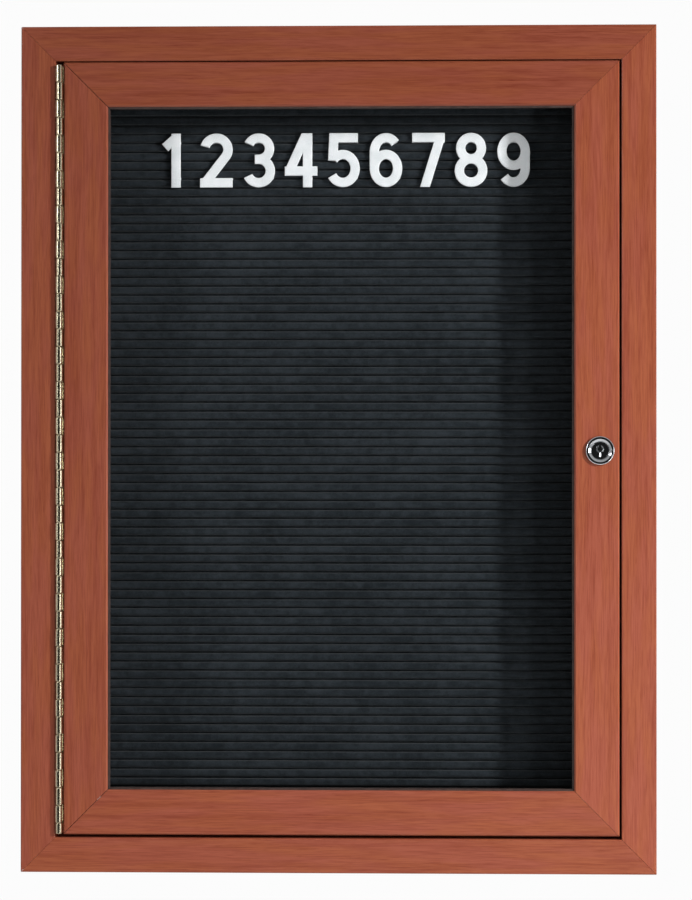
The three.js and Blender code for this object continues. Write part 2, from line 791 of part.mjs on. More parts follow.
function piece(name, geometry, finish, place = [0, 0, 0], turn = 0) {
  const material = new THREE.MeshStandardMaterial({ ...finishes[finish], flatShading: true });
  const mesh = new THREE.Mesh(geometry, material);
  mesh.name = name;
  mesh.position.set(...place);
  mesh.rotation.y = turn;
  return mesh;
}

// Four copies of a corner key, each turned into its corner.
function cornerKeys(prefix, geometry, left, right, bottom, top) {
  const corners = [
    ["bottom_left", left, bottom, 0],
    ["bottom_right", right, bottom, -Math.PI / 2],
    ["top_right", right, top, Math.PI],
    ["top_left", left, top, Math.PI / 2],
  ];
  return corners.map(([corner, x, z, turn]) => (
    piece(`${prefix}_corner_key_${corner}`, geometry, "steel", [x, 0, z], turn)
  ));
}

function cabinet() {
  const group = new THREE.Group();
  const halfWidth = cabinetWidth / 2;
  const halfHeight = cabinetHeight / 2;
  const key = cornerKey(frameWall, cabinetKeyArm, cabinetDepth);
  group.add(
    piece("cabinet_bottom_rail", cabinetRail("bottom"), "frame"),
    piece("cabinet_lock_stile", lockStile(), "frame"),
    piece("cabinet_top_rail", cabinetRail("top"), "frame"),
    piece("cabinet_hinge_stile", hingeStile(), "frame"),
    ...cornerKeys("cabinet", key, -halfWidth, halfWidth, -halfHeight, halfHeight),
    piece("back_panel", backPanel(), "hardboard"),
    piece("letter_panel", letterPanel(), "letterBoard"),
    piece("hinge_leaf_cabinet", hingeLeaf(-1), "brass"),
    piece("hinge_pin", hingePin(), "brass"),
  );
  const screw = panelScrew();
  panelScrewPlaces.forEach(([x, z], index) => {
    group.add(piece(`panel_screw_${index + 1}`, screw, "steel", [x, 0, z]));
  });
  const leafScrew = hingeScrew();
  const leafX = leafFaces(-1)[1];
  hingeScrewHeights.forEach((z, index) => {
    group.add(piece(`hinge_screw_cabinet_${index + 1}`, leafScrew, "brass", [leafX, leafMiddleY, z]));
  });
  const bumper = doorBumper();
  ["lower", "upper"].forEach((level, index) => {
    group.add(piece(`door_bumper_${level}`, bumper, "rubber", [bumperX, 0, bumperHeights[index]]));
  });
  return group;
}

function door() {
  const group = new THREE.Group();
  const key = cornerKey(doorWall, doorKeyArm, doorDepth);
  group.add(
    piece("door_bottom_rail", doorRail("bottom"), "frame"),
    piece("door_lock_stile", doorLockStile(), "frame"),
    piece("door_top_rail", doorRail("top"), "frame"),
    piece("door_hinge_stile", doorHingeStile(), "frame"),
    ...cornerKeys("door", key, doorLeft, doorRight, doorBottom, doorTop),
    piece("window_pane", windowPane(), "window"),
    ...Object.keys(railTurns).map((side) => piece(`window_gasket_${side}`, gasket(side), "gasket")),
    piece("hinge_leaf_door", hingeLeaf(1), "brass"),
    piece("lock_barrel", lockBarrel(), "chrome", [lockX, 0, lockZ]),
    piece("lock_nut", lockNut(), "steel", [lockX, 0, lockZ]),
  );
  const leafScrew = hingeScrew();
  const leafX = leafFaces(1)[0];
  hingeScrewHeights.forEach((z, index) => {
    const mesh = piece(`hinge_screw_door_${index + 1}`, leafScrew, "brass", [leafX, leafMiddleY, z], Math.PI);
    group.add(mesh);
  });
  return group;
}

function lockCore() {
  const group = new THREE.Group();
  group.position.set(lockX, 0, lockZ);
  group.add(
    piece("lock_plug", lockPlug(), "chrome"),
    piece("lock_cam", lockCam(), "steel"),
    piece("cam_screw", camScrew(), "steel"),
  );
  return group;
}

function numeralRow() {
  const group = new THREE.Group();
  group.position.set(numeralRowOffset, 0, numeralZ);
  const halfRow = numeralPitch * (numeralCount - 1) / 2;
  spaced(numeralCount, -halfRow, halfRow).forEach((x, index) => {
    group.add(piece(`numeral_${index + 1}`, numeral(numeralStrokeShares[index]), "plastic", [x, 0, 0]));
  });
  return group;
}

const noticeBoard = new THREE.Group();
noticeBoard.name = "lockable_notice_board";
noticeBoard.add(cabinet(), door(), lockCore(), numeralRow());

export default noticeBoard;
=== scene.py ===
# %% [markdown]
# # Dressing a lockable notice board
#
# The board is a shallow wall cabinet. A mitred frame in cherry foil carries a door of the same
# foil on a full-length hinge, and behind the door's clear window a black letter panel holds a row
# of press-in numerals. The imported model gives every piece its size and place, so this notebook
# measures it and only gives the pieces their fine shape and finish.

from math import copysign, cos, pi, radians, sin

import bmesh
import bpy
from mathutils import Euler, Matrix, Vector
from mathutils.geometry import delaunay_2d_cdt


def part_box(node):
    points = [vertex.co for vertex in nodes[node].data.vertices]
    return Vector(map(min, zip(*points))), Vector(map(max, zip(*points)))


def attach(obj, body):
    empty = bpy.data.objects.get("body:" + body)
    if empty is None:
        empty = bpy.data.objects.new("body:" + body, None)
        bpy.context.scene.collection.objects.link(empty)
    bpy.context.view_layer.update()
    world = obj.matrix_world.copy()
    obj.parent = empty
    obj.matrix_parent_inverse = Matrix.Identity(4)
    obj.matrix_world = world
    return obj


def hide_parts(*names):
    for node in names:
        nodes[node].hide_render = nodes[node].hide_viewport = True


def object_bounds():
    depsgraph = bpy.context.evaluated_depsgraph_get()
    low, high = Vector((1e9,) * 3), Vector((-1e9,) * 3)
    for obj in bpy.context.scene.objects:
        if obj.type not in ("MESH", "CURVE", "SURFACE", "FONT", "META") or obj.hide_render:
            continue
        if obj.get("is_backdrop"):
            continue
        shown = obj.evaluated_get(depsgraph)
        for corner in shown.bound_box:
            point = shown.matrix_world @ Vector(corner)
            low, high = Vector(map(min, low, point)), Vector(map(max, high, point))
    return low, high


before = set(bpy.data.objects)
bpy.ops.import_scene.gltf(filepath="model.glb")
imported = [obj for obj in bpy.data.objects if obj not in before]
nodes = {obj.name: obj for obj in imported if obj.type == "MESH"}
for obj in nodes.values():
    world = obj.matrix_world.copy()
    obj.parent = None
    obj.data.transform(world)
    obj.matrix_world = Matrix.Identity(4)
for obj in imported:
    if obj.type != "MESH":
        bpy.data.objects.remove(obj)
cad_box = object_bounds()
MM = 0.001


def in_millimetres(box):
    return [[round(value / MM, 1) for value in corner] for corner in box]


print("pieces in the frame:", len(nodes))
print("box in millimetres:", in_millimetres(cad_box))

# %% [markdown]
# ## Node trees that read like sums
#
# Finishes, the backdrop and the repeated pieces are all node trees. One class adds any node, and
# a second one wraps what comes out of a node, so that a sum on it adds the Math nodes. A finish
# then reads as a few lines of arithmetic instead of a web of links.

# %% A wire and a tree
class Wire:
    """What comes out of a node. A sum on a number's wire adds a Math node."""

    def __init__(self, tree, socket):
        self.tree = tree
        self.socket = socket

    def __add__(self, other):
        return self.tree.maths("ADD", self, other)

    def __sub__(self, other):
        return self.tree.maths("SUBTRACT", self, other)

    def __rsub__(self, other):
        return self.tree.maths("SUBTRACT", other, self)

    def __mul__(self, other):
        return self.tree.maths("MULTIPLY", self, other)

    def __truediv__(self, other):
        return self.tree.maths("DIVIDE", self, other)

    __radd__ = __add__
    __rmul__ = __mul__


class Tree:
    """A node tree. node() puts in any node: its settings first, then its sockets' values or links."""

    def __init__(self, node_tree):
        self.nodes = node_tree.nodes
        self.links = node_tree.links

    def node(self, kind, sockets=None, **settings):
        node = self.nodes.new(kind)
        for name, setting in settings.items():
            setattr(node, name, setting)
        for key, given in (sockets or {}).items():
            for wire in given if isinstance(given, list) else [given]:
                if isinstance(wire, Wire):
                    self.links.new(wire.socket, node.inputs[key])
                else:
                    node.inputs[key].default_value = wire
        return node

    def add(self, kind, sockets=None, output=0, **settings):
        return Wire(self, self.node(kind, sockets, **settings).outputs[output])

    def maths(self, operation, *numbers):
        return self.add("ShaderNodeMath", dict(enumerate(numbers)), operation=operation)

    def vectors(self, operation, *vectors, output=0):
        return self.add("ShaderNodeVectorMath", dict(enumerate(vectors)), output, operation=operation)

    def parts(self, vector):
        """The x, y and z of a vector."""
        node = self.node("ShaderNodeSeparateXYZ", {"Vector": vector})
        return [Wire(self, output) for output in node.outputs]

    def remap(self, number, low, high, to_low=0.0, to_high=1.0):
        """Carries low..high to to_low..to_high and holds what lies outside at the ends."""
        sockets = {"Value": number, 1: low, 2: high, 3: to_low, 4: to_high}
        return self.add("ShaderNodeMapRange", sockets, clamp=True)

    def mixed(self, share, first, second, blend="MIX"):
        """Two colours, the second by that share."""
        sockets = {0: share, 6: first, 7: second}
        return self.add("ShaderNodeMix", sockets, 2, data_type="RGBA", blend_type=blend)

    def noise(self, place, size, detail=2.0, roughness=0.5, distortion=0.0):
        """Noise from 0 to 1. Size is the length of its features, or one length for each axis."""
        lengths = (size, size, size) if isinstance(size, float) else size
        return self.add("ShaderNodeTexNoise", {
            "Vector": self.vectors("DIVIDE", place, lengths), "Scale": 1.0,
            "Detail": detail, "Roughness": roughness, "Distortion": distortion,
        })

    def bump(self, height, depth, strength=1.0):
        """A normal that follows height, which is 1 at the top and 0 that deep."""
        return self.add("ShaderNodeBump", {"Height": height, "Distance": depth, "Strength": strength})


# %% [markdown]
# ## Colours
#
# A colour is easiest to judge as it looks on screen, from 0 to 255, but a shader works in linear
# light. One function turns the first into the second, so the finishes below hold screen colours.
# A finish is a tree too, and most finishes end in one Principled shader.

# %% Colours and an empty finish
def linear(level):
    share = level / 255
    return share / 12.92 if share <= 0.04045 else ((share + 0.055) / 1.055) ** 2.4


def colour(red, green, blue):
    """A screen colour as linear light, with an alpha of 1."""
    return (linear(red), linear(green), linear(blue), 1.0)


class Finish(Tree):
    """The tree of a new material. It starts with nothing but the place on the object."""

    def __init__(self, name):
        self.material = bpy.data.materials.new(name)
        self.material.use_nodes = True
        super().__init__(self.material.node_tree)
        self.nodes.clear()
        self.place = self.add("ShaderNodeTexCoord", output="Object")

    def ended(self, shader):
        """Puts the shader on the material, and returns the material."""
        self.node("ShaderNodeOutputMaterial", {"Surface": shader})
        return self.material

    def surface(self, sockets):
        return self.ended(self.add("ShaderNodeBsdfPrincipled", sockets))


# %% [markdown]
# ## Cherry foil
#
# The rails are aluminium wrapped in a printed wood foil. The print has slow bands and fine dark
# pores that run along each rail, and a hue that drifts between orange, brown and rose. Noise that
# is stretched along the rail gives all three. The coordinates are bent by a slower noise first,
# because straight stretched noise looks like brushed metal. At a mitre the grain changes its
# direction, so stiles and rails get the same recipe with the coordinates turned. On top of the
# print the foil carries painted light: it is made lighter towards the bottom and darker towards
# the top, as the light falls on the frame.

# %% The foil's recipe
ROSE_BROWN = colour(145, 77, 58)
ORANGE_BROWN = colour(146, 79, 53)
DEEP_BROWN = colour(112, 46, 29)
FIGURE_BEND = 6 * MM
BAND_EDGE = (0.45, 0.7)
STREAK_EDGE = (0.4, 0.65)
PORE_EDGE = (0.60, 0.72)
HUE_EDGE = (0.38, 0.62)
BAND_DARK = 0.3
STREAK_DARK = 0.45
PORE_DARK = 0.25
FOIL_RELIEF = 0.05 * MM
# Painted light on the foil: how much lighter at the bottom, how much darker at the top, and over what height.
BOTTOM_PAINTED_LIGHT = 1.12
TOP_PAINTED_SHADE = 0.83
PAINTED_LIGHT_REACH = 300 * MM


def along_grain(length, width):
    """The size of noise that is stretched along the rail, from millimetres."""
    return (length * MM, width * MM, width * MM)


FIGURE_SIZE = along_grain(190, 26)
BAND_SIZE = along_grain(150, 4.2)
STREAK_SIZE = along_grain(24, 0.8)
PORE_SIZE = along_grain(9, 0.5)
DRIFT_SIZE = along_grain(60, 9)


def cherry_foil(name, upright, shift, tone):
    """Foil with its grain along Z if upright and else along X. The shift picks a stretch of print."""
    tree = Finish(name)
    turn = (0, radians(90), 0) if upright else (0, 0, 0)
    sockets = {"Vector": tree.place, "Rotation": turn, "Location": (shift, shift, shift)}
    place = tree.add("ShaderNodeMapping", sockets)
    figure = tree.noise(place, FIGURE_SIZE, detail=1.5)
    sideways = (figure - 0.5) * FIGURE_BEND
    bend = tree.add("ShaderNodeCombineXYZ", {"Y": sideways, "Z": sideways})
    bent = tree.vectors("ADD", place, bend)
    band = tree.noise(bent, BAND_SIZE, detail=2.5, roughness=0.6)
    streak = tree.noise(bent, STREAK_SIZE, detail=2, roughness=0.6)
    pore = tree.noise(bent, PORE_SIZE, detail=1)
    drift = tree.noise(place, DRIFT_SIZE, detail=1)
    pores = tree.remap(pore, *PORE_EDGE)
    bands = tree.remap(band, *BAND_EDGE, 0.0, BAND_DARK)
    streaks = tree.remap(streak, *STREAK_EDGE, 0.0, STREAK_DARK)
    ground = tree.mixed(tree.remap(drift, *HUE_EDGE), ROSE_BROWN, ORANGE_BROWN)
    stained = tree.mixed(bands + streaks + pores * PORE_DARK, ground, DEEP_BROWN)
    # Painted light: the foil is multiplied lighter towards the bottom and darker towards the top.
    height = tree.parts(tree.place)[2]
    painted_light_gradient = tree.remap(height, -PAINTED_LIGHT_REACH, PAINTED_LIGHT_REACH, BOTTOM_PAINTED_LIGHT, TOP_PAINTED_SHADE)
    toned_with_painted_light = tree.mixed(1.0, stained, painted_light_gradient * tone, "MULTIPLY")
    relief = 1.0 - (pores * 0.7 + tree.remap(streak, 0.45, 0.75, 0.0, 0.3))
    return tree.surface({
        "Base Color": toned_with_painted_light,
        "Roughness": tree.remap(streak, 0.3, 0.7, 0.3, 0.4),
        "Normal": tree.bump(relief, FOIL_RELIEF, 0.35),
    })


# %% [markdown]
# ## Felt, plastic and the other still finishes
#
# The letter panel is covered with black felt, which takes its look from a soft sheen, loose fibres
# and patches where the nap lies another way. The numerals are moulded plastic, clean but never
# perfectly even. The rest are a vinyl gasket, a fibreboard back and black rubber stops. The
# gasket's dark brown is partly painted shade, for the shaded inner edge of the foil beside it.

# %% Soft and moulded finishes
FELT_DARK = colour(24, 29, 33)
FELT_LIGHT = colour(45, 50, 55)
FELT_FIBRE = 0.35 * MM
FELT_PATCH = 7 * MM
FELT_CLOUD = 45 * MM
FELT_EDGE = (0.42, 0.58)
FELT_RELIEF = 0.25 * MM


def letter_felt():
    tree = Finish("letter_felt")
    place = tree.place
    fibre = tree.noise(place, (FELT_FIBRE * 3, FELT_FIBRE, FELT_FIBRE), detail=3, roughness=0.7)
    patch = tree.noise(place, FELT_PATCH, detail=4, roughness=0.8)
    cloud = tree.noise(place, FELT_CLOUD, detail=2)
    shade = tree.remap(fibre * 0.3 + patch * 0.5 + cloud * 0.2, *FELT_EDGE)
    return tree.surface({
        "Base Color": tree.mixed(shade, FELT_DARK, FELT_LIGHT),
        "Roughness": 1.0,
        "Specular IOR Level": 0.1,
        "Sheen Weight": 0.12,
        "Sheen Roughness": 0.5,
        "Normal": tree.bump(fibre, FELT_RELIEF, 0.6),
    })


def moulded(name, pale, shaded, speckle, roughness, relief, bump_strength):
    """Plastic, vinyl or rubber: two near colours in speckles of that size, and a fine grain."""
    tree = Finish(name)
    place = tree.place
    cloud = tree.noise(place, speckle, detail=3)
    grain = tree.noise(place, relief, detail=2)
    return tree.surface({
        "Base Color": tree.mixed(tree.remap(cloud, 0.35, 0.65), shaded, pale),
        "Roughness": tree.remap(cloud, 0.3, 0.7, roughness - 0.05, roughness + 0.05),
        "Normal": tree.bump(grain, relief * 0.1, bump_strength),
    })


HARDBOARD_PALE = colour(128, 94, 66)
HARDBOARD_DARK = colour(96, 68, 46)
FLAKE_LENGTH = 6 * MM
FLAKE_WIDTH = 0.8 * MM


def hardboard():
    """Pressed fibre: short flakes that lie both ways in a smooth brown board."""
    tree = Finish("hardboard")
    place = tree.place
    lying = tree.noise(place, (FLAKE_LENGTH, FLAKE_WIDTH, FLAKE_WIDTH), detail=3, distortion=0.8)
    standing = tree.noise(place, (FLAKE_WIDTH, FLAKE_WIDTH, FLAKE_LENGTH), detail=3, distortion=0.8)
    flakes = lying * 0.5 + standing * 0.5
    return tree.surface({
        "Base Color": tree.mixed(tree.remap(flakes, 0.38, 0.62), HARDBOARD_DARK, HARDBOARD_PALE),
        "Roughness": tree.remap(flakes, 0.4, 0.6, 0.62, 0.8),
        "Normal": tree.bump(flakes, FLAKE_WIDTH * 0.15, 0.4),
    })


# %% [markdown]
# ## Metals
#
# Metal shows its surroundings, so most of its look is in the lamps. What the finish adds is what
# handling and plating leave: the brass of the hinge is mottled by tarnish and slightly uneven, so
# that its highlight wanders, the chrome has fine scratches, and zinc has pale crystal patches.

# %% Metal finishes
WORN_EDGE = (0.45, 0.7)


def metal(name, clean, worn, patch, wear, roughness, wave, wave_depth):
    """Metal that goes from clean to worn in patches of that size, over a surface with slow waves."""
    tree = Finish(name)
    place = tree.place
    patches = tree.noise(place, patch, detail=4, roughness=0.65)
    spots = tree.remap(patches, *WORN_EDGE, 0.0, wear)
    waves = tree.noise(place, wave, detail=1)
    return tree.surface({
        "Base Color": tree.mixed(spots, clean, worn),
        "Metallic": 1.0,
        "Roughness": roughness + spots * 0.3,
        "Normal": tree.bump(waves, wave_depth),
    })


# %% [markdown]
# ## The window
#
# The window is clear acrylic. Real glass in a path tracer keeps lamps from what is behind it, so
# a thin pane is better made of a Transparent shader with a little mirror mixed in by Fresnel. It
# then lets the light in, and still shines at a low angle. Light that leaves by the rear face isn't
# bent here, so that face gets the turned index, or it would shut slanting light out.

# %% Clear acrylic
ACRYLIC_IOR = 1.49
CLEAR_TINT = (0.985, 0.992, 0.99, 1.0)
SMEAR = 40 * MM


def clear_acrylic():
    tree = Finish("window_clear")
    smear = tree.noise(tree.place, SMEAR, detail=3)
    through = tree.add("ShaderNodeBsdfTransparent", {"Color": CLEAR_TINT})
    roughness = tree.remap(smear, 0.35, 0.7, 0.02, 0.06)
    mirror = tree.add("ShaderNodeBsdfAnisotropic", {"Color": (1, 1, 1, 1), "Roughness": roughness})
    rear = tree.add("ShaderNodeNewGeometry", output="Backfacing")
    index = tree.remap(rear, 0, 1, ACRYLIC_IOR, 1 / ACRYLIC_IOR)
    share = tree.add("ShaderNodeFresnel", {"IOR": index})
    mix = tree.add("ShaderNodeMixShader", {0: share, 1: through, 2: mirror})
    return tree.ended(mix)


# %% All finishes but the foil
# A moulding: its pale and its shaded colour, the size of its speckles, its roughness, and the size
# and the strength of its grain.
MOULDINGS = {
    "numeral_plastic": (colour(245, 246, 249), colour(233, 236, 239), 9 * MM, 0.42, 0.5 * MM, 0.15),
    # The gasket's dark brown is partly its own colour and partly painted shade for the foil's shaded inner
    # edge.
    "gasket_vinyl": (colour(70, 56, 52), colour(54, 42, 39), 4 * MM, 0.5, 0.4 * MM, 0.3),
    "bumper_rubber": (colour(42, 42, 42), colour(26, 26, 26), 2 * MM, 0.75, 0.3 * MM, 0.5),
}
# A metal: its clean and its worn colour, the size of its patches, how worn they are, its roughness,
# and the length and the depth of its waves.
METALS = {
    "hinge_brass": (colour(234, 223, 194), colour(156, 148, 118), 2.5 * MM, 0.5, 0.2, 9 * MM, 0.02 * MM),
    "lock_chrome": (colour(226, 228, 232), colour(180, 184, 190), 1.2 * MM, 0.3, 0.08, 2.5 * MM, 0.01 * MM),
    "zinc_steel": (colour(196, 200, 204), colour(150, 154, 160), 3 * MM, 0.7, 0.3, 4 * MM, 0.02 * MM),
}
finishes = {"letter_felt": letter_felt(), "hardboard": hardboard(), "window_clear": clear_acrylic()}
finishes.update((slot, moulded(slot, *look)) for slot, look in MOULDINGS.items())
finishes.update((slot, metal(slot, *look)) for slot, look in METALS.items())
print("finishes:", ", ".join(finishes))

# %% [markdown]
# ## Copies of the frame's own pieces
#
# Rails, gaskets, the pane and other flat-sided pieces already have the right shape in the packed
# model, but their edges are knife-sharp and their mesh is loose triangles. A copy with its corners
# welded and its flat triangles joined can take a bevel, which catches the light as a real edge does.

# %% Welding, bevelling and handing over a piece
WELD = 0.002 * MM
FLAT_ANGLE = radians(1)
SMOOTH_ANGLE = radians(35)
BEVEL_ANGLE = radians(25)


def new_object(name, mesh):
    piece = bpy.data.objects.new(name, mesh)
    bpy.context.scene.collection.objects.link(piece)
    return piece


def mesh_from(name, work):
    """Turns a bmesh into an object and frees it."""
    mesh = bpy.data.meshes.new(name)
    work.to_mesh(mesh)
    work.free()
    return new_object(name, mesh)


def welded_copy(node, name):
    """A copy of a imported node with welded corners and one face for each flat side."""
    work = bmesh.new()
    work.from_mesh(nodes[node].data)
    bmesh.ops.remove_doubles(work, verts=work.verts, dist=WELD)
    bmesh.ops.dissolve_limit(work, angle_limit=FLAT_ANGLE, verts=work.verts, edges=work.edges)
    return mesh_from(name, work)


def shown_mesh(piece):
    """A plain mesh of what a piece shows."""
    bpy.context.view_layer.update()
    shown = piece.evaluated_get(bpy.context.evaluated_depsgraph_get())
    return bpy.data.meshes.new_from_object(shown)


def applied(piece):
    """Makes what the modifiers show the piece's own mesh."""
    mesh = shown_mesh(piece)
    piece.modifiers.clear()
    piece.data = mesh
    return piece


def smoothed(piece):
    """Smooth shading, with sharp edges kept, and flat sides kept flat."""
    piece.data.shade_smooth()
    piece.data.set_sharp_from_angle(angle=SMOOTH_ANGLE)
    piece.modifiers.new("flat sides", "WEIGHTED_NORMAL").keep_sharp = True
    return applied(piece)


def bevelled(piece, width, segments=3, limit="ANGLE"):
    bevel = piece.modifiers.new("edges", "BEVEL")
    bevel.width = width
    bevel.segments = segments
    bevel.limit_method = limit
    bevel.angle_limit = BEVEL_ANGLE
    return applied(piece)


def hand_over(piece, body, slot, stands_for, finish=None):
    """Gives a piece its slot's finish or another one, ties it to its body and hides the nodes that it stands
    for.
    """
    piece.data.materials.clear()
    piece.data.materials.append(finish or finishes[slot])
    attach(piece, body)
    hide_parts(*stands_for)


# %% [markdown]
# ## Rails
#
# Eight rails make the two frames. Their long edges are rounded where the foil wraps round, and the
# mitres meet almost without a gap. Both come from one Bevel modifier: each edge carries a weight,
# and the modifier's width times that weight is its bevel. On the door's hinge side the mitres have
# opened by a hair, so there each rail ends a little sooner, and the gap reads as a fine dark line.

# %% Edge weights along a rail
EDGE_ROUND = 0.45 * MM
LONG_EDGE = 100 * MM
MITRE_SLANT = 0.6
FOLD_ANGLE = radians(20)
SHARE_OF_ROUND = {"cabinet": {"left": 0.12, "right": 0.12}, "door": {"left": 0.3, "right": 0.18}}
MITRE_GAP = 0.15 * MM


def is_mitre(face):
    return min(abs(face.normal.x), abs(face.normal.z)) > MITRE_SLANT


def open_left_mitres(piece, axis):
    """Ends a rail that runs along that axis a little sooner on the hinge side."""
    work = bmesh.new()
    work.from_mesh(piece.data)
    mitres = [face for face in work.faces if is_mitre(face) and face.calc_center_median().x < 0]
    for vertex in {vertex for face in mitres for vertex in face.verts}:
        vertex.co[axis] -= copysign(MITRE_GAP, vertex.co[axis])
    work.to_mesh(piece.data)
    work.free()


def weigh_edges(piece, mitre_shares):
    """Full weight for the long edges, and each mitre's own share, by the side that it is on."""
    work = bmesh.new()
    work.from_mesh(piece.data)
    weight = work.edges.layers.float.new("bevel_weight_edge")
    for edge in work.edges:
        if len(edge.link_faces) != 2 or edge.calc_face_angle() < FOLD_ANGLE:
            continue
        middle = (edge.verts[0].co + edge.verts[1].co) / 2
        if any(is_mitre(face) for face in edge.link_faces):
            edge[weight] = mitre_shares["left" if middle.x < 0 else "right"]
        elif edge.calc_length() > LONG_EDGE:
            edge[weight] = 1.0
    work.to_mesh(piece.data)
    work.free()


# %% Eight rails
RAIL_TONES = {"top_rail": 0.97, "bottom_rail": 1.02, "hinge_stile": 1.0, "lock_stile": 1.14}
PRINT_STEP = 0.37

for count, (body, side) in enumerate((body, side) for body in SHARE_OF_ROUND for side in RAIL_TONES):
    node = f"{body}_{side}"
    rail = welded_copy(node, f"foil_{node}")
    if body == "door":
        open_left_mitres(rail, 2 if side.endswith("stile") else 0)
    weigh_edges(rail, SHARE_OF_ROUND[body])
    smoothed(bevelled(rail, EDGE_ROUND, limit="WEIGHT"))
    foil = cherry_foil(f"cherry_{node}", side.endswith("stile"), (count + 1) * PRINT_STEP, RAIL_TONES[side])
    hand_over(rail, body, "frame_foil", [node], foil)
print("rails:", count + 1)

# %% [markdown]
# ## Pieces that only need softer edges
#
# The gasket, the pane, the back, the hinge's pin, the nut, the cam and the stops keep their packed
# shape. The keys inside the corners are never seen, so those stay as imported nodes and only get
# their finish.

# %% Gaskets, pane, back, pin, nut, cam, stops and corner keys
SOFT_EDGES = {
    "window_pane": ("clear_window_pane", 0.3 * MM, "door", "window_clear"),
    "lock_nut": ("zinc_lock_nut", 0.3 * MM, "door", "zinc_steel"),
    "lock_cam": ("zinc_lock_cam", 0.3 * MM, "lock", "zinc_steel"),
    "hinge_pin": ("brass_hinge_pin", 0.15 * MM, "cabinet", "hinge_brass"),
    "back_panel": ("board_back_panel", 0.25 * MM, "cabinet", "hardboard"),
    "door_bumper_lower": ("rubber_stop_lower", 0.25 * MM, "cabinet", "bumper_rubber"),
    "door_bumper_upper": ("rubber_stop_upper", 0.25 * MM, "cabinet", "bumper_rubber"),
}
for side in ("top", "bottom", "left", "right"):
    SOFT_EDGES[f"window_gasket_{side}"] = (f"vinyl_gasket_{side}", 0.15 * MM, "door", "gasket_vinyl")

for node, (name, round_edge, body, slot) in SOFT_EDGES.items():
    piece = smoothed(bevelled(welded_copy(node, name), round_edge, segments=2))
    hand_over(piece, body, slot, [node])

for node, packed in nodes.items():
    if "corner_key" in node:
        for slot in packed.material_slots:
            slot.material = finishes["zinc_steel"]
print("softened:", len(SOFT_EDGES))

# %% [markdown]
# ## Recipes in Geometry Nodes
#
# What repeats is described once and placed by a rule. A recipe is a Geometry Nodes tree with named
# sizes. It is put on a mesh that may have a point at each place, given its sizes and its finish,
# and then turned into plain mesh, because an exported model keeps no instances.

# %% A recipe class
class Recipe(Tree):
    """A Geometry Nodes tree with named sizes, and the values that they are first made with."""

    def __init__(self, name, sizes):
        self.group = bpy.data.node_groups.new(name, "GeometryNodeTree")
        super().__init__(self.group)
        self.sizes = sizes
        new_socket = self.group.interface.new_socket
        new_socket("Geometry", in_out="INPUT", socket_type="NodeSocketGeometry")
        for size, value in sizes.items():
            kind = "NodeSocketInt" if isinstance(value, int) else "NodeSocketFloat"
            new_socket(size, in_out="INPUT", socket_type=kind)
        new_socket("Geometry", in_out="OUTPUT", socket_type="NodeSocketGeometry")
        self.given = self.nodes.new("NodeGroupInput")

    def __getitem__(self, name):
        """A named size, so that recipe["Pitch"] can stand in a sum."""
        return Wire(self, self.given.outputs[name])

    def vector(self, x=0.0, y=0.0, z=0.0):
        return self.add("ShaderNodeCombineXYZ", {"X": x, "Y": y, "Z": z})

    def moved(self, geometry, place=(0, 0, 0), turn=(0, 0, 0), scale=(1, 1, 1)):
        sockets = {"Geometry": geometry, "Translation": place, "Rotation": turn, "Scale": scale}
        return self.add("GeometryNodeTransform", sockets)

    def joined(self, *geometries):
        return self.add("GeometryNodeJoinGeometry", {"Geometry": list(reversed(geometries))})

    def cut(self, geometry, *cutters):
        sockets = {"Mesh 1": geometry, "Mesh 2": list(cutters), "Self Intersection": True}
        return self.add("GeometryNodeMeshBoolean", sockets, operation="DIFFERENCE", solver="EXACT")

    def bar(self, radius, length, sides):
        """A round bar along Z, with its middle at the origin."""
        sockets = {"Vertices": sides, "Radius": radius, "Depth": length}
        return self.add("GeometryNodeMeshCylinder", sockets)

    def block(self, x, y, z):
        return self.add("GeometryNodeMeshCube", {"Size": self.vector(x, y, z)})

    def circle(self, points, radius):
        sockets = {"Resolution": points, "Radius": radius}
        return self.add("GeometryNodeCurvePrimitiveCircle", sockets)

    def swept(self, path, section):
        sockets = {"Curve": path, "Profile Curve": section, "Fill Caps": True}
        return self.add("GeometryNodeCurveToMesh", sockets)

    def row(self, count, start, step):
        """Points in a row, from the start and a step apart."""
        sockets = {"Count": count, "Start Location": start, "Offset": step}
        return self.add("GeometryNodeMeshLine", sockets, mode="OFFSET")

    def instances(self, points, piece, turn=(0, 0, 0)):
        sockets = {"Points": points, "Instance": piece, "Rotation": turn}
        return self.add("GeometryNodeInstanceOnPoints", sockets)

    def made(self, name, geometry, finish, places=()):
        """Ends the tree, and returns what it makes at those places as a plain object."""
        real = self.add("GeometryNodeRealizeInstances", {"Geometry": geometry})
        painted = self.add("GeometryNodeSetMaterial", {"Geometry": real, "Material": finish})
        self.node("NodeGroupOutput", {"Geometry": painted})
        mesh = bpy.data.meshes.new(name)
        mesh.from_pydata([tuple(place) for place in places], [], [])
        piece = new_object(name, mesh)
        modifier = piece.modifiers.new(self.group.name, "NODES")
        modifier.node_group = self.group
        for item in self.group.interface.items_tree:
            if item.in_out == "INPUT" and item.name in self.sizes:
                modifier[item.identifier] = self.sizes[item.name]
        return applied(piece)


# %% [markdown]
# ## The letter panel
#
# A letter panel is a board of felt-covered slats with narrow slots between them, and the tabs of
# the characters grip in the slots. Each slat bulges a little, so its upper edge catches the light
# and its lower edge falls into shade. A rounded section, a superellipse, is swept once and put at
# every pitch. Four holes then let the wall screws through.

# %% Slats, base and wall holes
GROOVE_PITCH = 6.58 * MM
GROOVE_ABOVE_MIDDLE = 2 * MM
GROOVE_MARGIN = 3 * MM
SLOT_WIDTH = 1.4 * MM
SLOT_DEPTH = 4 * MM
SLAT_SINK = 0.6 * MM
SQUARENESS = 0.77
SECTION_POINTS = 32
HOLE_SIDES = 32
DRILL_SPAN = 6

